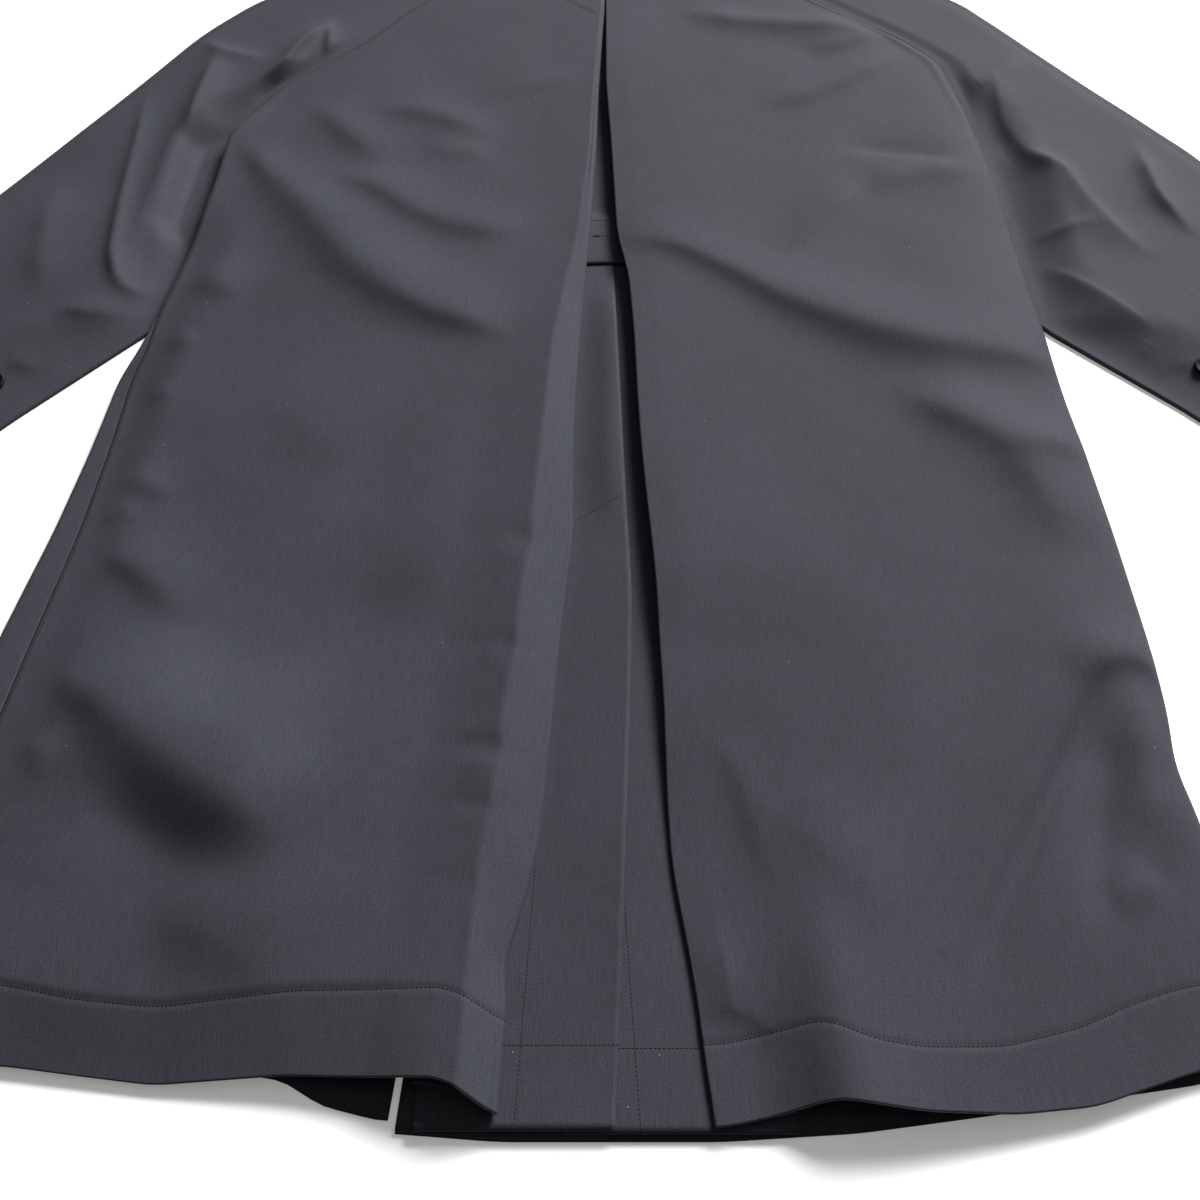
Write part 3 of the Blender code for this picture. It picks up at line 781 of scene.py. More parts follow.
def back_face(s, row, hand, crease, crease_z):
    """The part that shows, from the outer seam at s = 0 to the pressed ridge at s = 1."""
    y_out = outer_y(row)
    x_out = back_outer_x(y_out, hand)
    x = x_out + (crease - x_out) * s
    y = y_out + (row * NECK_Y - y_out) * s
    rest, folds = back_height(x, y)
    border = side_height(y_out, hand)
    inset = np.abs(x - x_out)
    reach = SEAM_REACH + SEAM_REACH_GAIN[hand] * falling(y_out, UNDERARM_Y, SEAM_REACH_SLOPE)
    near = np.clip(inset / reach, 0, 1)
    # The right edge rises steeply from its seam and levels out, and the left one starts softly.
    inward = 1.5 * near**0.5 - 0.5 * near**1.5 if hand > 0 else ramp(near)
    z = border + (rest - border) * inward
    width = RIDGE_WIDTH[hand] + RIDGE_WIDTH_GAIN[hand] * rising(fold_y(row), *RIDGE_WIDTH_Y)
    beside = np.clip(1 - np.abs(crease - x) / width, 0, 1)
    beside = beside**RIDGE_POWER if hand < 0 else ramp(beside)
    welt = WELT_HEIGHT * np.exp(-(((inset - WELT_INSET) / WELT_WIDTH) ** 2))
    welt = welt * rising(y_out, UNDERARM_Y, WELT_SLOPE)
    folds = folds * inward * (1 - beside if hand < 0 else 1)
    return x, y, z + welt + (crease_z - z) * beside + folds


def back_panel(u, v, hand):
    """Side or raglan seam, face, pressed ridge, pleat fold, and the return under it."""
    row = hem_rows(v)
    y_fold = fold_y(row)
    radius = FOLD_RADIUS[hand] + FOLD_RADIUS_GAIN[hand] * falling(y_fold, *FOLD_RADIUS_Y)
    roll_x = along(PLEAT, side_of(hand), y_fold) + hand * radius
    roll_top = return_height(y_fold, hand) + 2 * radius
    crease, crease_z = pressed_crease(y_fold, hand, roll_x, roll_top)
    x, y, z = back_face(np.clip(u / FACE_END, 0, 1), row, hand, crease, crease_z)

    s = np.clip((u - FACE_END) / (STRIP_END - FACE_END), 0, 1)
    x = x + (roll_x - x) * s
    z = z + (roll_top - z) * s
    angle = math.pi * np.clip((u - STRIP_END) / (ROLL_END - STRIP_END), 0, 1)
    x = x - hand * radius * np.sin(angle)
    z = z - radius * (1 - np.cos(angle))
    x = x + hand * PLEAT_RETURN * np.clip((u - ROLL_END) / (1 - ROLL_END), 0, 1)
    y = y + along(BACK_HEM, "y", x, by="x", blur=FINE_BLUR) * hem_fade(row)
    pull = np.exp(-(((row - STITCH_LINE_ROW) / PULL_ROWS) ** 2))
    y = y - along(HEM_TUCK, "tuck", x, by="x", blur=FINE_BLUR) * pull
    groove = np.exp(-(((row - STITCH_LINE_ROW) * NECK_Y / GROOVE_WIDTH) ** 2))
    return x, y, z - GROOVE_DEPTH * groove


for hand in (-1, 1):
    corner = back_panel(np.array([STRIP_END]), np.array([0.0]), hand)
    print(side_of(hand), "pleat fold at the hem", [round(float(value[0]), 1) for value in corner])

# %% [markdown]
# The fronts lie flat on the table. The left one is cut wide enough to roll round the body's edge and
# meet the back on top, which is why the photo shows a side seam there and none on the right. The right
# front has a facing inside its edge.

# %% Shapes of fronts and facing
FRONT_ROWS_SHARE, FLAT_END, LEFT_ROLL_END = 35 / 36, 0.5, 0.84
RIGHT_INSET, FACING_HEM_INSET, LEAST_TURN, LEFT_HEM_BLUR = 1, 1, 0.01, 5
LEFT_SLACK, LEFT_SLACK_Y, LEFT_UNROLL = 4, (600, 80), 40
NECK_HOLLOW, NECK_HOLLOW_V = 22, (0.85, 0.15)
FACING_WIDTH, FACING_SHORTER, FACING_RISE, FACING_RISE_Y = 105.0, 42, 0.5, (780, 60)


def neck_hollow(s, v):
    """How far the front's upper edge is cut down between the neck and the raglan seam."""
    return NECK_HOLLOW * 4 * s * (1 - s) * rising(v, *NECK_HOLLOW_V)


def front_left(u, v):
    """From the front edge along the surface, round the body's left edge and up to the side seam."""
    y_in = v * FRONT_NECK_Y
    y_out = outer_y(v * FRONT_ROWS_SHARE)
    radius = along(SIDE_SEAM_INSET, "roll", y_out)
    slack = SEAM_GAP * (1 + LEFT_SLACK * rising(y_out, *LEFT_SLACK_Y))
    strip = along(SIDE_SEAM_INSET, "inset", y_out) - radius - slack
    turned = falling(y_out, UNDERARM_Y, LEFT_UNROLL)
    angle = math.pi * np.maximum(turned, LEAST_TURN)
    arc = math.pi * radius
    bend = arc / angle
    border = along(BODY_EDGE, "left", y_out)
    border = np.where(y_out < UNDERARM_Y, border, along(RAGLAN, "left", y_out, blur=FINE_BLUR))
    start = border + (arc + strip) * (1 - turned) + radius * turned

    s = np.clip(u / FLAT_END, 0, 1)
    inner = along(FRONT_EDGE, "x", y_in)
    x = inner + (start - inner) * s
    y = y_in + (y_out - y_in) * s - neck_hollow(s, v)
    turn = angle * np.clip((u - FLAT_END) / (LEFT_ROLL_END - FLAT_END), 0, 1)
    x = x - bend * np.sin(turn)
    curl = bend * (1 - np.cos(turn))
    s = np.clip((u - LEFT_ROLL_END) / (1 - LEFT_ROLL_END), 0, 1) * strip
    x = x - s * np.cos(angle)
    curl = (curl + s * np.sin(angle)) * (1 + turned * underarm_lift(y_out) / (2 * radius))
    base = front_lift(np.minimum(x, inner), y)
    base = np.where(u > FLAT_END, front_lift(start, y_out), base)
    y = y + along(FRONT_LEFT_HEM, "y", x, by="x", blur=LEFT_HEM_BLUR) * hem_fade(v)
    return x, y, base + curl


def front_right(u, v):
    """Flat on the surface from the side seam, under the back's edge, to the front edge."""
    y_in = v * FRONT_NECK_Y
    y_out = outer_y(v * FRONT_ROWS_SHARE)
    border = along(BODY_EDGE, "right", y_out) - RIGHT_INSET
    border = np.where(y_out < UNDERARM_Y, border, along(RAGLAN, "right", y_out, blur=FINE_BLUR))
    inner = along(FRONT_EDGE, "x", y_in) + along(FRONT_EDGE, "gap", y_in)
    x = border + (inner - border) * u
    y = y_out + (y_in - y_out) * u - neck_hollow(u, v)
    y = y + along(FRONT_RIGHT_HEM, "y", x, by="x", blur=FINE_BLUR) * hem_fade(v)
    return x, y, front_lift(x, y)


def facing_right(u, v):
    """The strip inside the right front's edge, whose inner edge shows at the hem."""
    y = v * (FRONT_NECK_Y - FACING_SHORTER)
    x = along(FRONT_EDGE, "x", y) + along(FRONT_EDGE, "gap", y) + FACING_WIDTH * u
    hem = along(FRONT_RIGHT_HEM, "y", x, by="x", blur=FINE_BLUR) + FACING_HEM_INSET
    y = y + hem * hem_fade(v)
    return x, y, front_lift(x, y) + STACK + CLOTH + FACING_RISE * rising(y, *FACING_RISE_Y)


edge = front_left(np.array([LEFT_ROLL_END]), np.array([0.3]))[2]
print("the left front rolls up to", edge.round(1), "mm at the body's edge")

# %% [markdown]
# The pleat is closed from below by an underlay, and lower down by a vent of two flaps. The left flap
# laps over the right one and leans up towards its free edge, so it turns from the light. The upper
# underlay ends over both in a hemmed band.

# %% Shapes of the vent flaps and the upper underlay
FLAPS = table(
    "left hem top z",
    (-92, -33, 640, 4.9),
    (-18, -34, 636, 3.2),
)
RIGHT_FLAP_END = 98
FLAP_BULGE, BULGE_X, BULGE_WIDTH, BULGE_Y = 3.0, 8, 12, (330, 60, 600, 70)
FLAP_LEAN, LEAN_INSET, LEAN_Y = 0.13, 3, (-20, 150, 600, 70)
UNDERLAY_HALF, UNDERLAY_Z, UNDERLAY_TOP = 45, 6.4, 1000.0
BAND_LOW, BAND_SLANT = 598.0, 4
SAG, SAG_Y = 3.2, (653, 14, 850, 50)


def flap_end(flap, y):
    """The right edge of a flap. The left flap's free edge is the line of the vent."""
    return along(VENT_EDGE, "x", y) if flap == 0 else RIGHT_FLAP_END


def vent_flap(u, v, flap):
    """Flap 0 is the left one, on top; flap 1 lies flat under it."""
    left, hem, top, z = (FLAPS[name][flap] for name in FLAPS)
    y = hem + (top - hem) * v
    x = left + (flap_end(flap, y) - left) * u
    z = z + CLOTH + 0 * x
    if flap == 0:
        lean = FLAP_LEAN * np.maximum(x - along(PLEAT, "left", y) - LEAN_INSET, 0)
        bulge = FLAP_BULGE * np.exp(-(((x - BULGE_X) / BULGE_WIDTH) ** 2))
        z = z + bulge * between(y, *BULGE_Y) + lean * between(y, *LEAN_Y)
    return x, y, z


def upper_underlay(u, v):
    """It laps over the flaps, sags behind the pleat, and rises again over the facing."""
    low = BAND_LOW + BAND_SLANT * u
    y = low + (UNDERLAY_TOP - low) * v
    x = -UNDERLAY_HALF + 2 * UNDERLAY_HALF * u
    return x, y, UNDERLAY_Z + CLOTH - SAG * between(y, *SAG_Y)


print("the band's lower edge is", BAND_LOW, "mm above the hem")

# %% [markdown]
# A raglan sleeve has no seam round the armhole: it runs on over the shoulder to the neck. Each sleeve
# here is a back and a front half that meet along its outer edge, and its inner edge dives under the body.

# %% Shapes of the sleeves
SLEEVE_OUTER = table(
    "along left_x left_y right_x right_y",
    (0.0, -80, 1100, 80, 1100),
    (0.33, -316, 973, 330, 973),
    (0.42, -362, 914, 367, 920),
    (0.74, -487, 686, 500, 731),
    (1.0, -590, 505, 590, 520),
)
SLEEVE_INNER = table(
    "along left_x left_y right_x right_y",
    (0.5, -307, 755, 318, 755),
    (0.59, -280, 690, 285, 690),
    (0.68, -277, 625, 281, 625),
    (0.79, -328, 537, 328, 534),
    (0.93, -415, 439, 418, 446),
    (1.0, -450, 393, 462, 392),
)
SLEEVE_BORDER = table(
    "y left right z",
    (380, -460, 472, 2.7),
    (439, -415, 424, 2.7),
    (535, -330, 328, 3.0),
    (640, -314, 323, 4.2),
    (755, -308, 318, 4.2),
    (820, -281, 308, 10.0),
    (859, -241, 300, 13.0),
    (894, -207, 272, 13.6),
    (985, -138, 172, 13.6),
    (1100, -70, 70, 13.6),
)
SLEEVE_STRENGTH, SLEEVE_SHARP, SLEEVE_WAVE_SEED = 1.6, 1.6, 8
PUFF, CUFF_LESS, CUFF_V, SHOULDER_Y = 15, 4, (0.85, 0.15), (960, 80)
POCKET_Y, POCKET_WIDTH, POCKET_STEEPER = (615, 35, 775, 35), 15, 14
BORDER_INSET, BORDER_REACH, SEAM_LESS, SEAM_V = 6, 42, 26, (0.5, 0.08)
CUFF_MORE, FOREARM_V, RIM_WIDTH, RIM_SHARE = 50, (0.76, 0.14), 30, 0.6
OUTER_BLUR, INNER_BLUR, SEAM_MARGIN = 0.03, 0.015, 1


def sleeve_plan(s, v, hand):
    """Across the sleeve from its outer edge to its inner one, and along it from neck to cuff."""
    side = side_of(hand)
    outer = [along(SLEEVE_OUTER, f"{side}_{axis}", v, by="along", blur=OUTER_BLUR) for axis in "xy"]
    inner = [along(SLEEVE_INNER, f"{side}_{axis}", v, by="along", blur=INNER_BLUR) for axis in "xy"]
    seam_y = NECK_Y - (NECK_Y - UNDERARM_Y) * 2 * v
    on_seam = seam_y > UNDERARM_Y - SEAM_MARGIN
    raglan_x = along(RAGLAN, side, seam_y, blur=FINE_BLUR)
    inner[0] = np.where(on_seam, raglan_x, inner[0]) + hand * 2 * SEAM_GAP
    inner[1] = np.where(on_seam, seam_y, inner[1])
    return [a + (b - a) * s for a, b in zip(outer, inner)]


def sleeve_width(v, hand):
    """From the outer to the inner edge, in millimetres."""
    ends = sleeve_plan(0 * v, v, hand), sleeve_plan(0 * v + 1, v, hand)
    return np.hypot(*np.subtract(*ends))


def sleeve_front(u, v, hand):
    """The lower half, flat on the surface and raised over the collar."""
    x, y = sleeve_plan(u, v, hand)
    return x, y, collar_lift(y)


def sleeve_back(u, v, hand):
    """The upper half: puffed and creased, low where it dives under the body, rounded at its outer edge."""
    x, y = sleeve_plan(u, v, hand)
    low = collar_lift(y) + STACK + CLOTH
    border = along(SLEEVE_BORDER, "z", y, blur=FINE_BLUR)
    pocket = between(y, *POCKET_Y) if hand < 0 else 0 * y
    body_x = along(SLEEVE_BORDER, side_of(hand), y, blur=FINE_BLUR)
    beyond = hand * (x - body_x) - BORDER_INSET - POCKET_WIDTH * pocket
    puff = PUFF - CUFF_LESS * rising(v, *CUFF_V)
    puff = puff + (NECK_HEIGHT - puff) * rising(y, *SHOULDER_Y)
    folds = creases(SLEEVE_CREASES, SLEEVE_STRENGTH, SLEEVE_SHARP, x, y) + unevenness(x, y, SLEEVE_WAVE_SEED)
    puff = puff + folds * falling(y, *SHOULDER_Y)
    reach = BORDER_REACH - SEAM_LESS * falling(v, *SEAM_V) - POCKET_STEEPER * pocket
    reach = reach + CUFF_MORE * rising(v, *FOREARM_V)
    z = border + (puff - border) * ramp(beyond / reach)
    width = sleeve_width(v, hand)
    rim = np.clip(u * width / np.minimum(RIM_WIDTH, RIM_SHARE * width), 0, 1)
    return x, y, low + np.maximum(z - low, 0) * np.sqrt(1 - (1 - rim) ** 2)


for hand in (-1, 1):
    print(side_of(hand), "cuff is", sleeve_width(np.array([1.0]), hand).round(), "mm wide")

# %% [markdown]
# The collar is outside the photo and is finished plainly: a fall turned down over a stand, wrapped
# round the flattened neck. One strip of cloth makes both, rolled over at the fold.

# %% Shape of the collar
COLLAR = table(
    "part back_y side_x side_y front_x front_y",
    (0, 1038, 128, 1078, 46, 905),
    (1, 1118, 80, 1130, 4, 1010),
    (2, 1085.4, 76, 1104, 4, 987),
)
COLLAR_MIDDLE, FALL_REACH, STAND_REACH = 8.2, 8.2, 4.2
COLLAR_ROLL = 0.5 * (FALL_REACH - STAND_REACH)
OVER_END, WRAP_END = 0.42, 0.62
COLLAR_TO_LEFT, COLLAR_END_POWER = 8, 1.2
FALL_SIDE, FALL_UP = 0.55, 0.9


def collar(u, v):
    """Round the flattened neck from one front end to the other, and from fall edge to stand."""
    fold, turn_end = 0.5, 0.8
    t = np.interp(v, (0, fold, turn_end, 1), (0, 1, 1, 2))
    back_y, side_x, side_y, front_x, front_y = (
        np.interp(t, COLLAR["part"], COLLAR[name]) for name in list(COLLAR)[1:]
    )
    turn = math.pi * np.clip((v - fold) / (turn_end - fold), 0, 1)
    reach = STAND_REACH + COLLAR_ROLL * (1 + np.cos(turn))
    push = COLLAR_ROLL * np.sin(turn)
    hand = np.where(u < 0.5, -1.0, 1.0)
    q = np.abs(u - 0.5) * 2
    over = np.clip(q / OVER_END, 0, 1)
    wrap = math.pi * np.clip((q - OVER_END) / (WRAP_END - OVER_END), 0, 1)
    below = np.clip((q - WRAP_END) / (1 - WRAP_END), 0, 1)
    slope = np.clip(1 - v / fold, 0, 1)
    x = hand * side_x * over
    y = back_y + (side_y - back_y) * over**2
    side_reach = reach * np.sin(wrap)
    x = x + (hand * front_x - COLLAR_TO_LEFT - x) * below + hand * (1 - FALL_SIDE * slope) * side_reach
    y = y + (front_y - y) * below**COLLAR_END_POWER + FALL_UP * slope * side_reach + push
    return x, y, COLLAR_MIDDLE + reach * np.cos(wrap)


print("the collar stands", COLLAR_MIDDLE + FALL_REACH, "mm high")

# %% [markdown]
# Every colour here is written as the sRGB hex value that a colour picker would show, and one function
# turns it into the linear light that the shader wants. One other function adds any node with its links.

# %% Colours and nodes


def linear(hex_colour):
    """An sRGB hex value as linear red, green, blue and a full alpha."""
    values = [int(hex_colour[i : i + 2], 16) / 255 for i in (1, 3, 5)]
    return tuple(c / 12.92 if c <= 0.04045 else ((c + 0.055) / 1.055) ** 2.4 for c in values) + (1.0,)


def add_node(tree, kind, settings=(), **inputs):
    """A node with its settings. Each input, by name or as i and its number, is linked or set to a value."""
    made = tree.nodes.new(kind)
    for name, value in dict(settings).items():
        setattr(made, name, value)
    for name, value in inputs.items():
        numbered = name[0] == "i" and name[1:].isdigit()
        socket = made.inputs[int(name[1:]) if numbered else name]
        if isinstance(value, bpy.types.NodeSocket):
            tree.links.new(value, socket)
        else:
            socket.default_value = value
    return made


def new_material(name):
    """A material with its node tree and its shader."""
    material = bpy.data.materials.new(name)
    material.use_nodes = True
    return material, material.node_tree, material.node_tree.nodes["Principled BSDF"]


print("mid grey is", round(linear("#808080")[0], 3), "in linear light")

# %% [markdown]
# The cloth is a fine worsted wool: long combed fibres spun hard, woven plain and pressed. To the eye
# that is a matt charcoal with a faint bloom at grazing angles, thin streaks along the warp where yarns
# differ, and a few pale specks of lint. The yarns are about 0.25 mm apart, too fine for this view, so
# the weave is drawn at 0.7 mm. It reads the sheet's own UV map, in metres, so it follows each panel.

# %% Worsted wool
WEAVE_MM = 0.7
WOOL_PATTERNS = table(
    "across_mm along_mm detail share",
    (0.6, 14.0, 2.0, 0.24),
    (40.0, WEAVE_MM, 1.0, 0.06),
    (WEAVE_MM, WEAVE_MM, 2.0, 0.60),
    (70.0, 110.0, 2.0, 0.10),
)
TONE_STOPS = (0.28, 0.72)
LINT_MM, LINT_RADIUS, LINT_RARITY, LINT_COLOUR = 16.0, 0.016, 0.988, "#9A9BA2"
BUMP_STRENGTH, BUMP_MM = 0.22, 0.25
WOOL_SURFACE = {
    "Roughness": 0.78,
    "Specular IOR Level": 0.1,
    "Sheen Weight": 0.02,
    "Sheen Roughness": 0.42,
    "Sheen Tint": linear("#C9CBD6"),
}


def worsted_wool(name, dark, light):
    """Matt cloth: warp streaks, weft, grain and patches in one tone, a low weave relief, and rare lint."""
    material, tree, shader = new_material(name)
    flat = add_node(tree, "ShaderNodeUVMap", {"uv_map": "weave"}).outputs["UV"]

    mixed = 0.0
    for across, lengthways, detail, share in zip(*WOOL_PATTERNS.values()):
        scale = (1 / (across * MM), 1 / (lengthways * MM), 1.0)
        at = add_node(tree, "ShaderNodeMapping", Vector=flat, Scale=scale).outputs[0]
        size = {"Vector": at, "Scale": 1.0, "Detail": detail}
        noise = add_node(tree, "ShaderNodeTexNoise", {"noise_dimensions": "2D"}, **size)
        added = {"i0": noise.outputs[0], "i1": share, "i2": mixed}
        mixed = add_node(tree, "ShaderNodeMath", {"operation": "MULTIPLY_ADD"}, **added).outputs[0]
    tone = add_node(tree, "ShaderNodeValToRGB", Fac=mixed)
    for stop, position, colour in zip(tone.color_ramp.elements, TONE_STOPS, (dark, light)):
        stop.position = position
        stop.color = linear(colour)

    scale = (1 / (LINT_MM * MM), 1 / (LINT_MM * MM), 1.0)
    at = add_node(tree, "ShaderNodeMapping", Vector=flat, Scale=scale).outputs[0]
    speck = add_node(tree, "ShaderNodeTexVoronoi", {"voronoi_dimensions": "2D"}, Vector=at, Scale=1.0)
    near = {"i0": speck.outputs["Distance"], "i1": LINT_RADIUS}
    small = add_node(tree, "ShaderNodeMath", {"operation": "LESS_THAN"}, **near).outputs[0]
    chance = add_node(tree, "ShaderNodeSeparateColor", Color=speck.outputs["Color"]).outputs[0]
    seldom = {"i0": chance, "i1": LINT_RARITY}
    rare = add_node(tree, "ShaderNodeMath", {"operation": "GREATER_THAN"}, **seldom).outputs[0]
    lint = add_node(tree, "ShaderNodeMath", {"operation": "MULTIPLY"}, i0=small, i1=rare).outputs[0]
    colours = {"i0": lint, "i6": tone.outputs[0], "i7": linear(LINT_COLOUR)}
    colour = add_node(tree, "ShaderNodeMix", {"data_type": "RGBA"}, **colours).outputs[2]
    relief = {"Strength": BUMP_STRENGTH, "Distance": BUMP_MM * MM, "Height": mixed}
    bump = add_node(tree, "ShaderNodeBump", **relief).outputs[0]
    tree.links.new(colour, shader.inputs["Base Color"])
    tree.links.new(bump, shader.inputs["Normal"])
    for socket, value in WOOL_SURFACE.items():
        shader.inputs[socket].default_value = value
    return material


wool = worsted_wool("charcoal_worsted_wool", "#26272C", "#44454D")
print("wool drawn with", len(wool.node_tree.nodes), "nodes")

# %% [markdown]
# Sewing thread is spun polyester matched to the cloth, but its colour is set darker here as painted shade
# for the dent that its pull makes, so a row of stitches reads as a fine dark dotted line. The sleeve buttons
# are cast resin, almost black with a trace of plum. Their polish is dulled here, because the photo shows no
# bright glint on them.

# %% Thread and button resin


def plain_material(name, colour, roughness, specular):
    """One even colour with its shine, for what is too small or too plain to need a pattern."""
    material, _, shader = new_material(name)
    shader.inputs["Base Color"].default_value = linear(colour)
    shader.inputs["Roughness"].default_value = roughness
    shader.inputs["Specular IOR Level"].default_value = specular
    return material


# The thread's dark colour is painted shade for the dent that each stitch lies in.
thread = plain_material("spun_polyester_thread_painted_shade", "#17171A", roughness=0.7, specular=0.2)
resin = plain_material("polished_button_resin", "#161114", roughness=0.6, specular=0.12)
print("materials:", thread.name, resin.name)

# %% [markdown]
# A sheet starts as a flat grid. Its grid numbers u and v go through the piece's formula, its UV map
# takes the distance along the cloth both ways, and Solidify gives it the wall. Real hems are turned
# double, so a vertex group makes the wall thicker there. One face at the sheet's start tells whether its
# normals point the right way.

# %% From grid to cloth
UPRIGHT_V = 0.2


def cloth(node, shape, across, lengthways, outside, hem_v=None, centre=0.0):
    """The piece that stands for a CAD node; outside is 1 for up, -1 for down, at u = 0."""
    name = node + "_cloth"
    across, lengthways = (max(4, round(count * DETAIL)) for count in (across, lengthways))
    work = bmesh.new()
    bmesh.ops.create_grid(work, x_segments=across, y_segments=lengthways, size=1)
    mesh = bpy.data.meshes.new(name)
    work.to_mesh(mesh)
    work.free()
    flat = np.empty(len(mesh.vertices) * 3)
    mesh.vertices.foreach_get("co", flat)
    u, v = (flat.reshape(-1, 3)[:, :2].T + 1) / 2
    points = placed(*shape(u, v))
    mesh.vertices.foreach_set("co", points.ravel())
    mesh.update()

    order = np.lexsort((u.round(6), v.round(6)))
    lattice = points[order].reshape(lengthways + 1, across + 1, 3)
    walk_u = np.linalg.norm(np.diff(lattice, axis=1, prepend=lattice[:, :1]), axis=2).cumsum(axis=1)
    walk_v = np.linalg.norm(np.diff(lattice, axis=0, prepend=lattice[:1]), axis=2).cumsum(axis=0)
    walk_u -= walk_u[:, round(centre * across)][:, None]
    weave = np.empty((len(u), 2))
    weave[order] = np.stack([walk_u, walk_v], axis=2).reshape(-1, 2)
    corners = np.empty(len(mesh.loops), int)
    mesh.loops.foreach_get("vertex_index", corners)
    mesh.uv_layers.new(name="weave").uv.foreach_set("vector", weave[corners].ravel())

    corner = np.array([face.vertices[0] for face in mesh.polygons])
    first = mesh.polygons[int(np.hypot(u[corner], v[corner] - UPRIGHT_V).argmin())]
    if first.normal.z * outside < 0:
        mesh.flip_normals()
    mesh.polygons.foreach_set("use_smooth", np.ones(len(mesh.polygons), bool))
    mesh.materials.append(wool)
    piece = bpy.data.objects.new(name, mesh)
    bpy.context.collection.objects.link(piece)
    wall = piece.modifiers.new("cloth thickness", "SOLIDIFY")
    wall.offset = -1
    wall.thickness = CLOTH * MM
    if hem_v is not None:
        turned = piece.vertex_groups.new(name="turned hem")
        turned.add(np.flatnonzero(v <= hem_v).tolist(), 1.0, "REPLACE")
        wall.vertex_group = turned.name
        wall.thickness = 2 * CLOTH * MM
        wall.thickness_vertex_group = 0.5
    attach(piece, "root")
    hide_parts(node)
    area = sum(face.area for face in mesh.polygons)
    width, length = np.ptp(walk_u, axis=1).max(), np.ptp(walk_v, axis=0).max()
    print(f"{node}: {len(mesh.polygons)} faces, {width:.3f} by {length:.3f} m, {area:.3f} square metres")


# %% [markdown]
# The body is laid in the order in which it would be put down: fronts and facing first, then what closes
# the pleat, then the back. The back panels carry the creases, so their grids are the finest. Their UV map
# starts at the pleat's fold, where the warp runs straight, and their hems are turned double.

# %% Body panels
HEM_V = 0.15
cloth("front_left", front_left, 90, 150, -1)
cloth("front_right", front_right, 60, 150, -1)
cloth("facing_right", facing_right, 24, 120, 1)
cloth("vent_flap_left", lambda u, v: vent_flap(u, v, 0), 40, 160, 1)
cloth("vent_flap_right", lambda u, v: vent_flap(u, v, 1), 40, 160, 1)
cloth("pleat_underlay", upper_underlay, 30, 100, 1)
cloth("back_left", lambda u, v: back_panel(u, v, -1), 144, 290, 1, HEM_V, ROLL_END)
cloth("back_right", lambda u, v: back_panel(u, v, 1), 144, 290, 1, HEM_V, ROLL_END)

# %% [markdown]
# Each sleeve is two halves, as a raglan sleeve is cut: the back half shows and is fine, the front half
# lies under it and stays plain. The collar's long strip needs many columns to wrap round the neck.

# %% Sleeves and collar
for hand in (-1, 1):
    side = side_of(hand)
    cloth(f"sleeve_back_{side}", lambda u, v: sleeve_back(u, v, hand), 120, 270, 1)
    cloth(f"sleeve_front_{side}", lambda u, v: sleeve_front(u, v, hand), 50, 120, -1)
cloth("collar", collar, 180, 60, -1)

# %% [markdown]
# A stitch is a short bead of thread that dips into the cloth at both ends. One bead is made once and
# then copied along each row at the machine's pitch, turned to follow the cloth, and all the rows of a
# piece become one mesh, because thousands of separate objects would be slow.

# %% One stitch, and rows of it
PITCH_MM, STITCH_MM, THREAD_MM, THREAD_RISE_MM = 2.3, 1.9, 0.42, 0.08
work = bmesh.new()
bmesh.ops.create_icosphere(work, subdivisions=1, radius=0.5)
bmesh.ops.scale(work, vec=(STITCH_MM, THREAD_MM, THREAD_MM), verts=work.verts)
BEAD = np.array([corner.co for corner in work.verts])
BEAD_FACES = np.array([[corner.index for corner in face.verts] for face in work.faces])
work.free()


def stitch_row(shape, u, v):
    """Places, ways along, and ways out of the cloth for the stitches on a line of u and v."""
    step = 1e-4
    here = np.stack(shape(u, v), axis=1)
    across = np.stack(shape(np.clip(u + step, 0, 1), v), axis=1) - here
    lengthways = np.stack(shape(u, np.clip(v + step, 0, 1)), axis=1) - here
    out = np.cross(across, lengthways)
    out *= np.where(out[:, 2] < 0, -1, 1)[:, None]
    walked = np.r_[0, np.linalg.norm(np.diff(here, axis=0), axis=1).cumsum()]
    at = np.arange(PITCH_MM / 2, walked[-1], PITCH_MM)

    def read(values):
        return np.stack([np.interp(at, walked, values[:, axis]) for axis in range(3)], axis=1)

    return read(here), read(np.gradient(here, axis=0)), read(out)


def sew(name, rows):
    """One mesh of all the stitches of these rows."""
    place, way, out = (np.concatenate(parts) for parts in zip(*rows))
    way /= np.linalg.norm(way, axis=1, keepdims=True)
    out -= (out * way).sum(axis=1, keepdims=True) * way
    out /= np.linalg.norm(out, axis=1, keepdims=True)
    sideways = np.cross(out, way)
    turn = np.stack([way, sideways, out], axis=1)
    points = np.einsum("ij,njk->nik", BEAD, turn) + (place + THREAD_RISE_MM * out)[:, None]
    first = np.arange(len(place)) * len(BEAD)
    faces = BEAD_FACES[None] + first[:, None, None]
    mesh = bpy.data.meshes.new(name)
    mesh.from_pydata(placed(*points.reshape(-1, 3).T), [], faces.reshape(-1, 3))
    mesh.polygons.foreach_set("use_smooth", np.ones(len(mesh.polygons), bool))
    mesh.materials.append(thread)
    piece = bpy.data.objects.new(name, mesh)
    bpy.context.collection.objects.link(piece)
    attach(piece, "root")
    print(name, len(place), "stitches")


# %% [markdown]
# The back is sewn along its hem, beside the side seam, along the raglan seams and, at the pleat's top,
# with a short double diagonal that stops the pleat from tearing open. A line drawn on the pattern is
# first turned back into the sheet's own u and v, so that the stitches lie on the cloth.

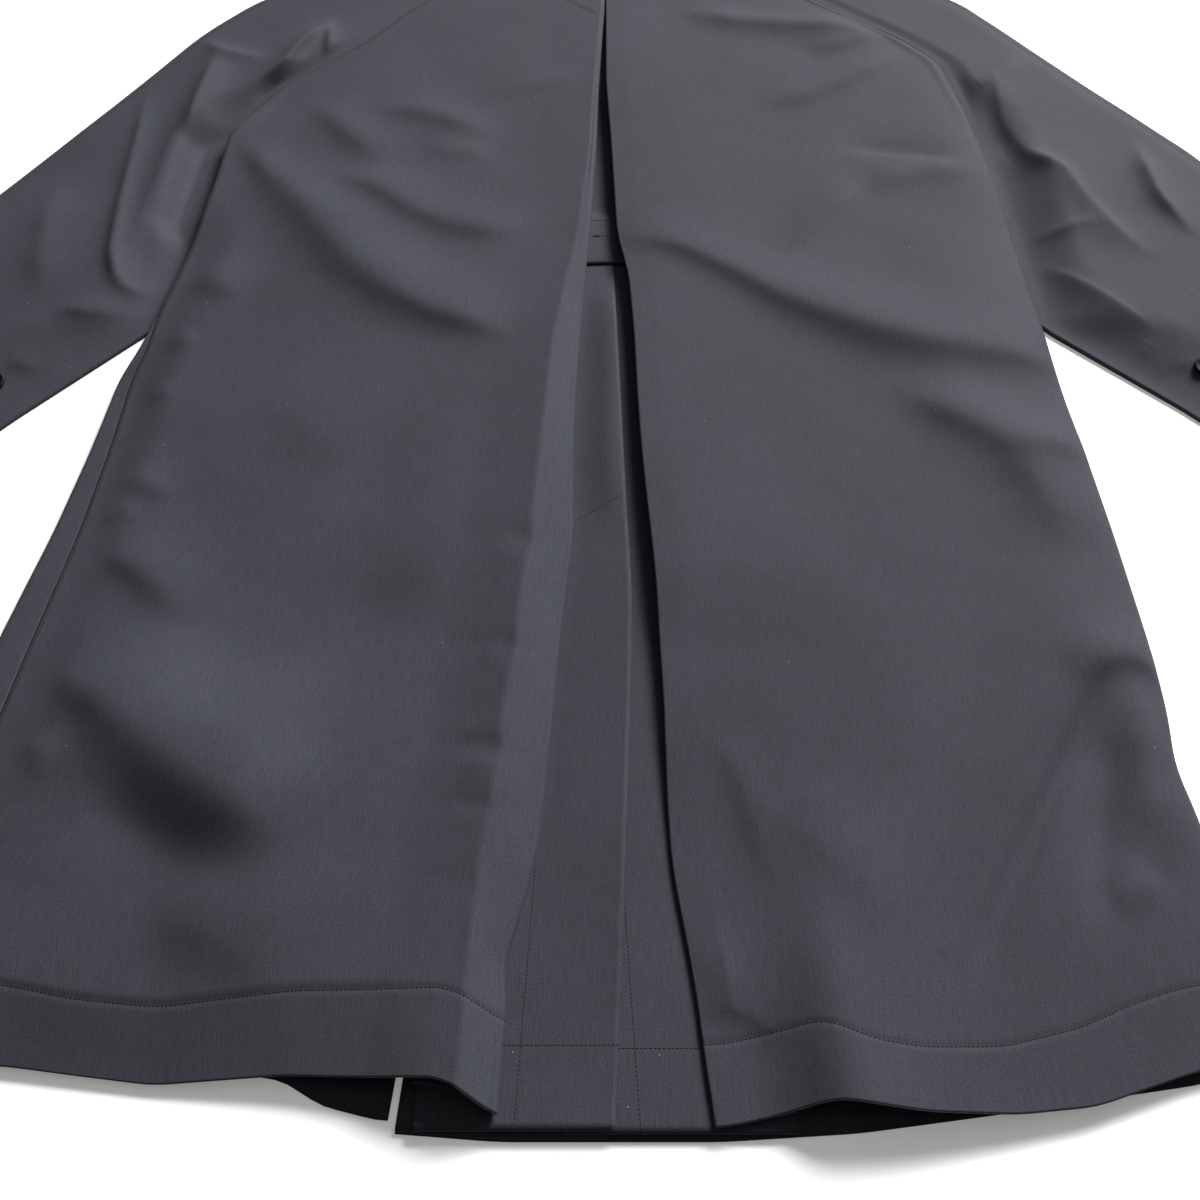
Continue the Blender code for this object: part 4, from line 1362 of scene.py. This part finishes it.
# %% Sewing on the back
t = np.linspace(0, 1, 600)
EDGE_U, FIRST_U, LAST_V, SEARCH_ROUNDS = 0.007, 0.004, 0.998, 6
PLEAT_TOP_STITCHES = table("x0 y0 x1 y1", (-31, 956, -4, 932), (-30, 959, -3.4, 935.4))


def on_back(x, y, hand):
    """The u and v of a back panel at pattern points on its face."""
    row = y / NECK_Y
    for _ in range(SEARCH_ROUNDS):
        x_out = back_outer_x(outer_y(row), hand)
        s = (x - x_out) / (along(PLEAT, "crease", fold_y(row)) - x_out)
        row = row + (y - outer_y(row) - (row * NECK_Y - outer_y(row)) * s) / NECK_Y
    return s * FACE_END, v_of_row(row)


for hand in (-1, 1):

    def panel(u, v):
        return back_panel(u, v, hand)

    first_v = 0 if hand < 0 else float(v_of_row(UNDERARM_ROW))
    rows = [
        stitch_row(panel, FIRST_U + (ROLL_END - FIRST_U) * t, float(v_of_row(STITCH_LINE_ROW)) + 0 * t),
        stitch_row(panel, EDGE_U + 0 * t, first_v + (LAST_V - first_v) * t),
    ]
    if hand < 0:
        for x0, y0, x1, y1 in zip(*PLEAT_TOP_STITCHES.values()):
            rows.append(stitch_row(panel, *on_back(x0 + (x1 - x0) * t, y0 + (y1 - y0) * t, hand)))
    sew(f"back_{side_of(hand)}_stitches", rows)

# %% [markdown]
# Inside the pleat the vent's two flaps are hemmed, edge-stitched and held together by a diagonal row,
# and the underlay above them ends in a band with three rows across it and a bar tack in the middle one.

# %% Sewing inside the pleat
FLAP_STITCHES = table(
    "flap x0 y0 x1 y1",
    (0, -35.5, 105, -42, -32),
    (0, -84, 8, 11, 8),
    (0, -15, 348, 15, 365),
    (1, 13.5, 82, 20, -32),
    (1, -10, 7, 90, 7),
)
BAND_STITCH_Y = (651, 632, 606)
BAR_TACK = {"x": -5.0, "y": 632.0, "length": 5.0, "crossings": 15, "height": 2.2, "rise": 0.3}
EDGE_MARGIN = 0.02
FROM_EDGES = EDGE_MARGIN + (1 - 2 * EDGE_MARGIN) * t


def on_flap(flap, x, y):
    """The u and v of a flap at pattern points."""
    left, hem, top, _ = (FLAPS[name][flap] for name in FLAPS)
    return (x - left) / (flap_end(flap, y) - left), (y - hem) / (top - hem)


def on_underlay(u, y):
    """The v of the upper underlay at a height on the pattern."""
    low = BAND_LOW + BAND_SLANT * u
    return (y - low) / (UNDERLAY_TOP - low)


def bar_tack():
    """A tight zigzag of thread that locks the end of the band's middle row."""
    count = BAR_TACK["crossings"]
    x = BAR_TACK["x"] + np.linspace(0, BAR_TACK["length"], count)
    u = (x + UNDERLAY_HALF) / (2 * UNDERLAY_HALF)
    y = BAR_TACK["y"] + BAR_TACK["height"] / 2 * np.where(np.arange(count) % 2, 1, -1)
    place = np.stack(upper_underlay(u, on_underlay(u, y)), axis=1)
    middle = (place[1:] + place[:-1]) / 2 + (0, 0, BAR_TACK["rise"])
    return middle, np.diff(place, axis=0), np.tile((0.0, 0.0, 1.0), (count - 1, 1))


rows = [bar_tack()]
for flap, x0, y0, x1, y1 in zip(*FLAP_STITCHES.values()):
    u, v = on_flap(int(flap), x0 + (x1 - x0) * t, y0 + (y1 - y0) * t)
    rows.append(stitch_row(lambda a, b: vent_flap(a, b, int(flap)), u, v))
for y in BAND_STITCH_Y:
    rows.append(stitch_row(upper_underlay, FROM_EDGES, on_underlay(FROM_EDGES, y)))
sew("pleat_stitches", rows)

# %% [markdown]
# A raglan sleeve's shoulder seam runs down its outer edge, pressed open and held by three rows of
# topstitching. The cuff is hemmed with one row.

# %% Sewing on the sleeves
TOPSTITCH_MM = (8.0, 11.5, 15.0)
CUFF_HEM_V, TOPSTITCH_START_V, TOPSTITCH_SHARE = 0.968, 0.1, 0.895
down = TOPSTITCH_START_V + TOPSTITCH_SHARE * t
for hand in (-1, 1):

    def half(u, v):
        return sleeve_back(u, v, hand)

    rows = [stitch_row(half, inset / sleeve_width(down, hand), down) for inset in TOPSTITCH_MM]
    rows.append(stitch_row(half, FROM_EDGES, CUFF_HEM_V + 0 * t))
    sew(f"sleeve_{side_of(hand)}_stitches", rows)

# %% [markdown]
# A coat button is turned from a cast resin rod: a dished face, a rounded rim and four holes. A spun
# profile gives the turned body, the holes are cut through it, and two bars of thread hold it on. The
# CAD disc says where each button sits, and the cloth under it says how it leans.

# %% Sleeve buttons
BUTTON_PROFILE = table(
    "r z",
    (0.0, 1.5),
    (4.3, 1.5),
    (5.1, 2.1),
    (6.1, 2.6),
    (6.9, 2.4),
    (7.4, 1.8),
    (7.5, 1.2),
    (7.0, 0.4),
    (6.2, 0.0),
    (0.0, 0.0),
)
HOLE_AT_MM, HOLE_RADIUS_MM, DRILL_MM, DRILL_Z = 1.55, 0.85, 8, 1
BUTTON_STEPS, HOLE_STEPS = 48, 16
THREAD_BAR_MM, THREAD_BAR_Z = (4.2, 1.1, 0.9), 1.5


def spun(profile):
    """A bmesh turned round Z from a table of radius and height in millimetres."""
    turned = bmesh.new()
    points = [turned.verts.new((r, 0, z)) for r, z in zip(*profile.values())]
    edges = [turned.edges.new(pair) for pair in zip(points, points[1:])]
    bmesh.ops.spin(
        turned,
        geom=points + edges,
        axis=(0, 0, 1),
        cent=(0, 0, 0),
        angle=2 * math.pi,
        steps=BUTTON_STEPS,
        use_merge=True,
    )
    bmesh.ops.remove_doubles(turned, verts=turned.verts, dist=1e-4)
    bmesh.ops.recalc_face_normals(turned, faces=turned.faces)
    return turned


def linked(name, shape):
    """An object of this bmesh, in the scene."""
    mesh = bpy.data.meshes.new(name)
    shape.to_mesh(mesh)
    shape.free()
    made = bpy.data.objects.new(name, mesh)
    bpy.context.collection.objects.link(made)
    return made


def drills():
    """A bmesh of the four rods that cut the holes."""
    rods = bmesh.new()
    for x in (-HOLE_AT_MM, HOLE_AT_MM):
        for y in (-HOLE_AT_MM, HOLE_AT_MM):
            bmesh.ops.create_cone(
                rods,
                cap_ends=True,
                segments=HOLE_STEPS,
                radius1=HOLE_RADIUS_MM,
                radius2=HOLE_RADIUS_MM,
                depth=DRILL_MM,
                matrix=Matrix.Translation((x, y, DRILL_Z)),
            )
    return rods


def sewn_button():
    """A bmesh of a drilled button, lying flat at the origin in millimetres, with its two bars of thread."""
    body, drill = linked("turned", spun(BUTTON_PROFILE)), linked("drill", drills())
    cut = body.modifiers.new("holes", "BOOLEAN")
    cut.object, cut.operation, cut.solver = drill, "DIFFERENCE", "EXACT"
    bpy.context.view_layer.update()
    drilled = bpy.data.meshes.new_from_object(body.evaluated_get(bpy.context.evaluated_depsgraph_get()))
    for spare in (body, drill):
        bpy.data.objects.remove(spare, do_unlink=True)
    made = bmesh.new()
    made.from_mesh(drilled)
    turned_faces = len(made.faces)
    for y in (-HOLE_AT_MM, HOLE_AT_MM):
        place = Matrix.Translation((0, y, THREAD_BAR_Z)) @ Matrix.Diagonal((*THREAD_BAR_MM, 1))
        bmesh.ops.create_icosphere(made, subdivisions=2, radius=0.5, matrix=place)
    for count, face in enumerate(made.faces):
        face.material_index = int(count >= turned_faces)
        face.smooth = True
    return made


print("button", 2 * BUTTON_PROFILE["r"].max(), "mm across")

# %% [markdown]
# A button hangs on its thread and so lies against the cloth. The sleeve's surface under the CAD disc is
# sampled, the plane that fits it best gives the lean, and the button is set a little above that plane.

# %% Seating the buttons
SEAT_RADIUS_MM, SEAT_RISE_MM = 6, 0.6
CUFF_V_RANGE, SEAT_SAMPLES = (0.8, 1), 200


def seat_of(node, hand):
    """The place and the lean of a button on its sleeve."""
    low, high = (np.array(corner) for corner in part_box(node))
    u, v = np.meshgrid(np.linspace(0, 1, SEAT_SAMPLES), np.linspace(*CUFF_V_RANGE, SEAT_SAMPLES))
    sleeve = placed(*sleeve_back(u, v, hand))
    gap = np.hypot(*(sleeve - (low + high) / 2)[..., :2].transpose(2, 0, 1))
    around = sleeve[gap < SEAT_RADIUS_MM * MM]
    middle = around.mean(axis=0)
    lean = Vector(np.linalg.svd(around - middle)[2][2])
    lean = lean if lean.z > 0 else -lean
    return Vector(middle) + lean * SEAT_RISE_MM * MM, lean


for hand in (-1, 1):
    node = f"sleeve_button_{side_of(hand)}"
    work = sewn_button()
    seat, lean = seat_of(node, hand)
    turn = Vector((0, 0, 1)).rotation_difference(lean).to_matrix().to_4x4()
    work.transform(Matrix.Translation(seat) @ turn @ Matrix.Scale(MM, 4))
    button = linked(node + "_resin", work)
    button.data.materials.append(resin)
    button.data.materials.append(thread)
    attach(button, "root")
    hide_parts(node)
    print(node, len(button.data.polygons), "faces, leaning", [round(value, 3) for value in lean])

# %% [markdown]
# Every panel was cut flat from the bolt before it was sewn, and each one lies on the layer under it. Each
# sheet prints its size in metres when it is made, width by length with the true area, because no panel is
# a full rectangle.

# %% [markdown]
# Soft light comes from a large window-like source at the far end, a little to the right, with a weak
# fill all round. The coat lies on a plain white table top of laminate, smooth and matt. It is given a faint
# glow of its own, painted light that fills in the shadows on it and keeps it as white as the photo's
# overexposed one.

# %% Table and light
TABLE_HALF_M, TABLE_PAINTED_LIGHT, ROOM_GLOW = 4.0, 0.22, 0.07
work = bmesh.new()
bmesh.ops.create_grid(work, x_segments=1, y_segments=1, size=TABLE_HALF_M)
table_top = linked("table_top", work)
white = plain_material("white_laminate_with_painted_light", "#F4F3F2", roughness=0.6, specular=0.3)
# The table top's glow is painted light: it lifts the shadows that fall on the table.
painted_glow = white.node_tree.nodes["Principled BSDF"].inputs
painted_glow["Emission Color"].default_value = linear("#FFFDFA")
painted_glow["Emission Strength"].default_value = TABLE_PAINTED_LIGHT
table_top.data.materials.append(white)


def area_light(name, place, target, size, power, colour):
    """A rectangle of light at a place in metres, turned to a target."""
    data = bpy.data.lights.new(name, "AREA")
    data.shape, data.size, data.size_y = "RECTANGLE", *size
    data.energy = power
    data.color = linear(colour)[:3]
    lamp = bpy.data.objects.new(name, data)
    bpy.context.collection.objects.link(lamp)
    lamp.location = place
    lamp.rotation_euler = (Vector(target) - Vector(place)).to_track_quat("-Z", "Y").to_euler()


area_light("window", (3.9, 5.7, 4.5), (0.05, -0.1, 0), size=(4.0, 2.9), power=1800, colour="#FFFFFF")
area_light("ceiling", (0.2, 0.4, 2.6), (0, 0, 0), size=(3.0, 3.0), power=10, colour="#FFFFFF")
world = bpy.data.worlds.new("room")
bpy.context.scene.world = world
world.use_nodes = True
sky = world.node_tree.nodes["Background"].inputs
sky["Color"].default_value = linear("#FFFFFF")
sky["Strength"].default_value = ROOM_GLOW
bpy.context.scene.view_settings.view_transform = "Standard"
print("lights:", [data.name for data in bpy.data.lights])

# %% [markdown]
# The camera takes the photo's own place, pitch and lens, so that the render frames the coat as the photo
# does and the creases fall where they were read.

# %% Camera
camera_data = bpy.data.cameras.new("camera")
camera_data.lens, camera_data.sensor_width = LENS_MM, SENSOR_MM
camera = bpy.data.objects.new("camera", camera_data)
bpy.context.collection.objects.link(camera)
camera.location = placed(*CAMERA_ON_PATTERN)
camera.rotation_euler = (math.pi / 2 - CAMERA_PITCH, 0, 0)
bpy.context.scene.camera = camera
print("camera at", [round(value, 3) for value in camera.location])
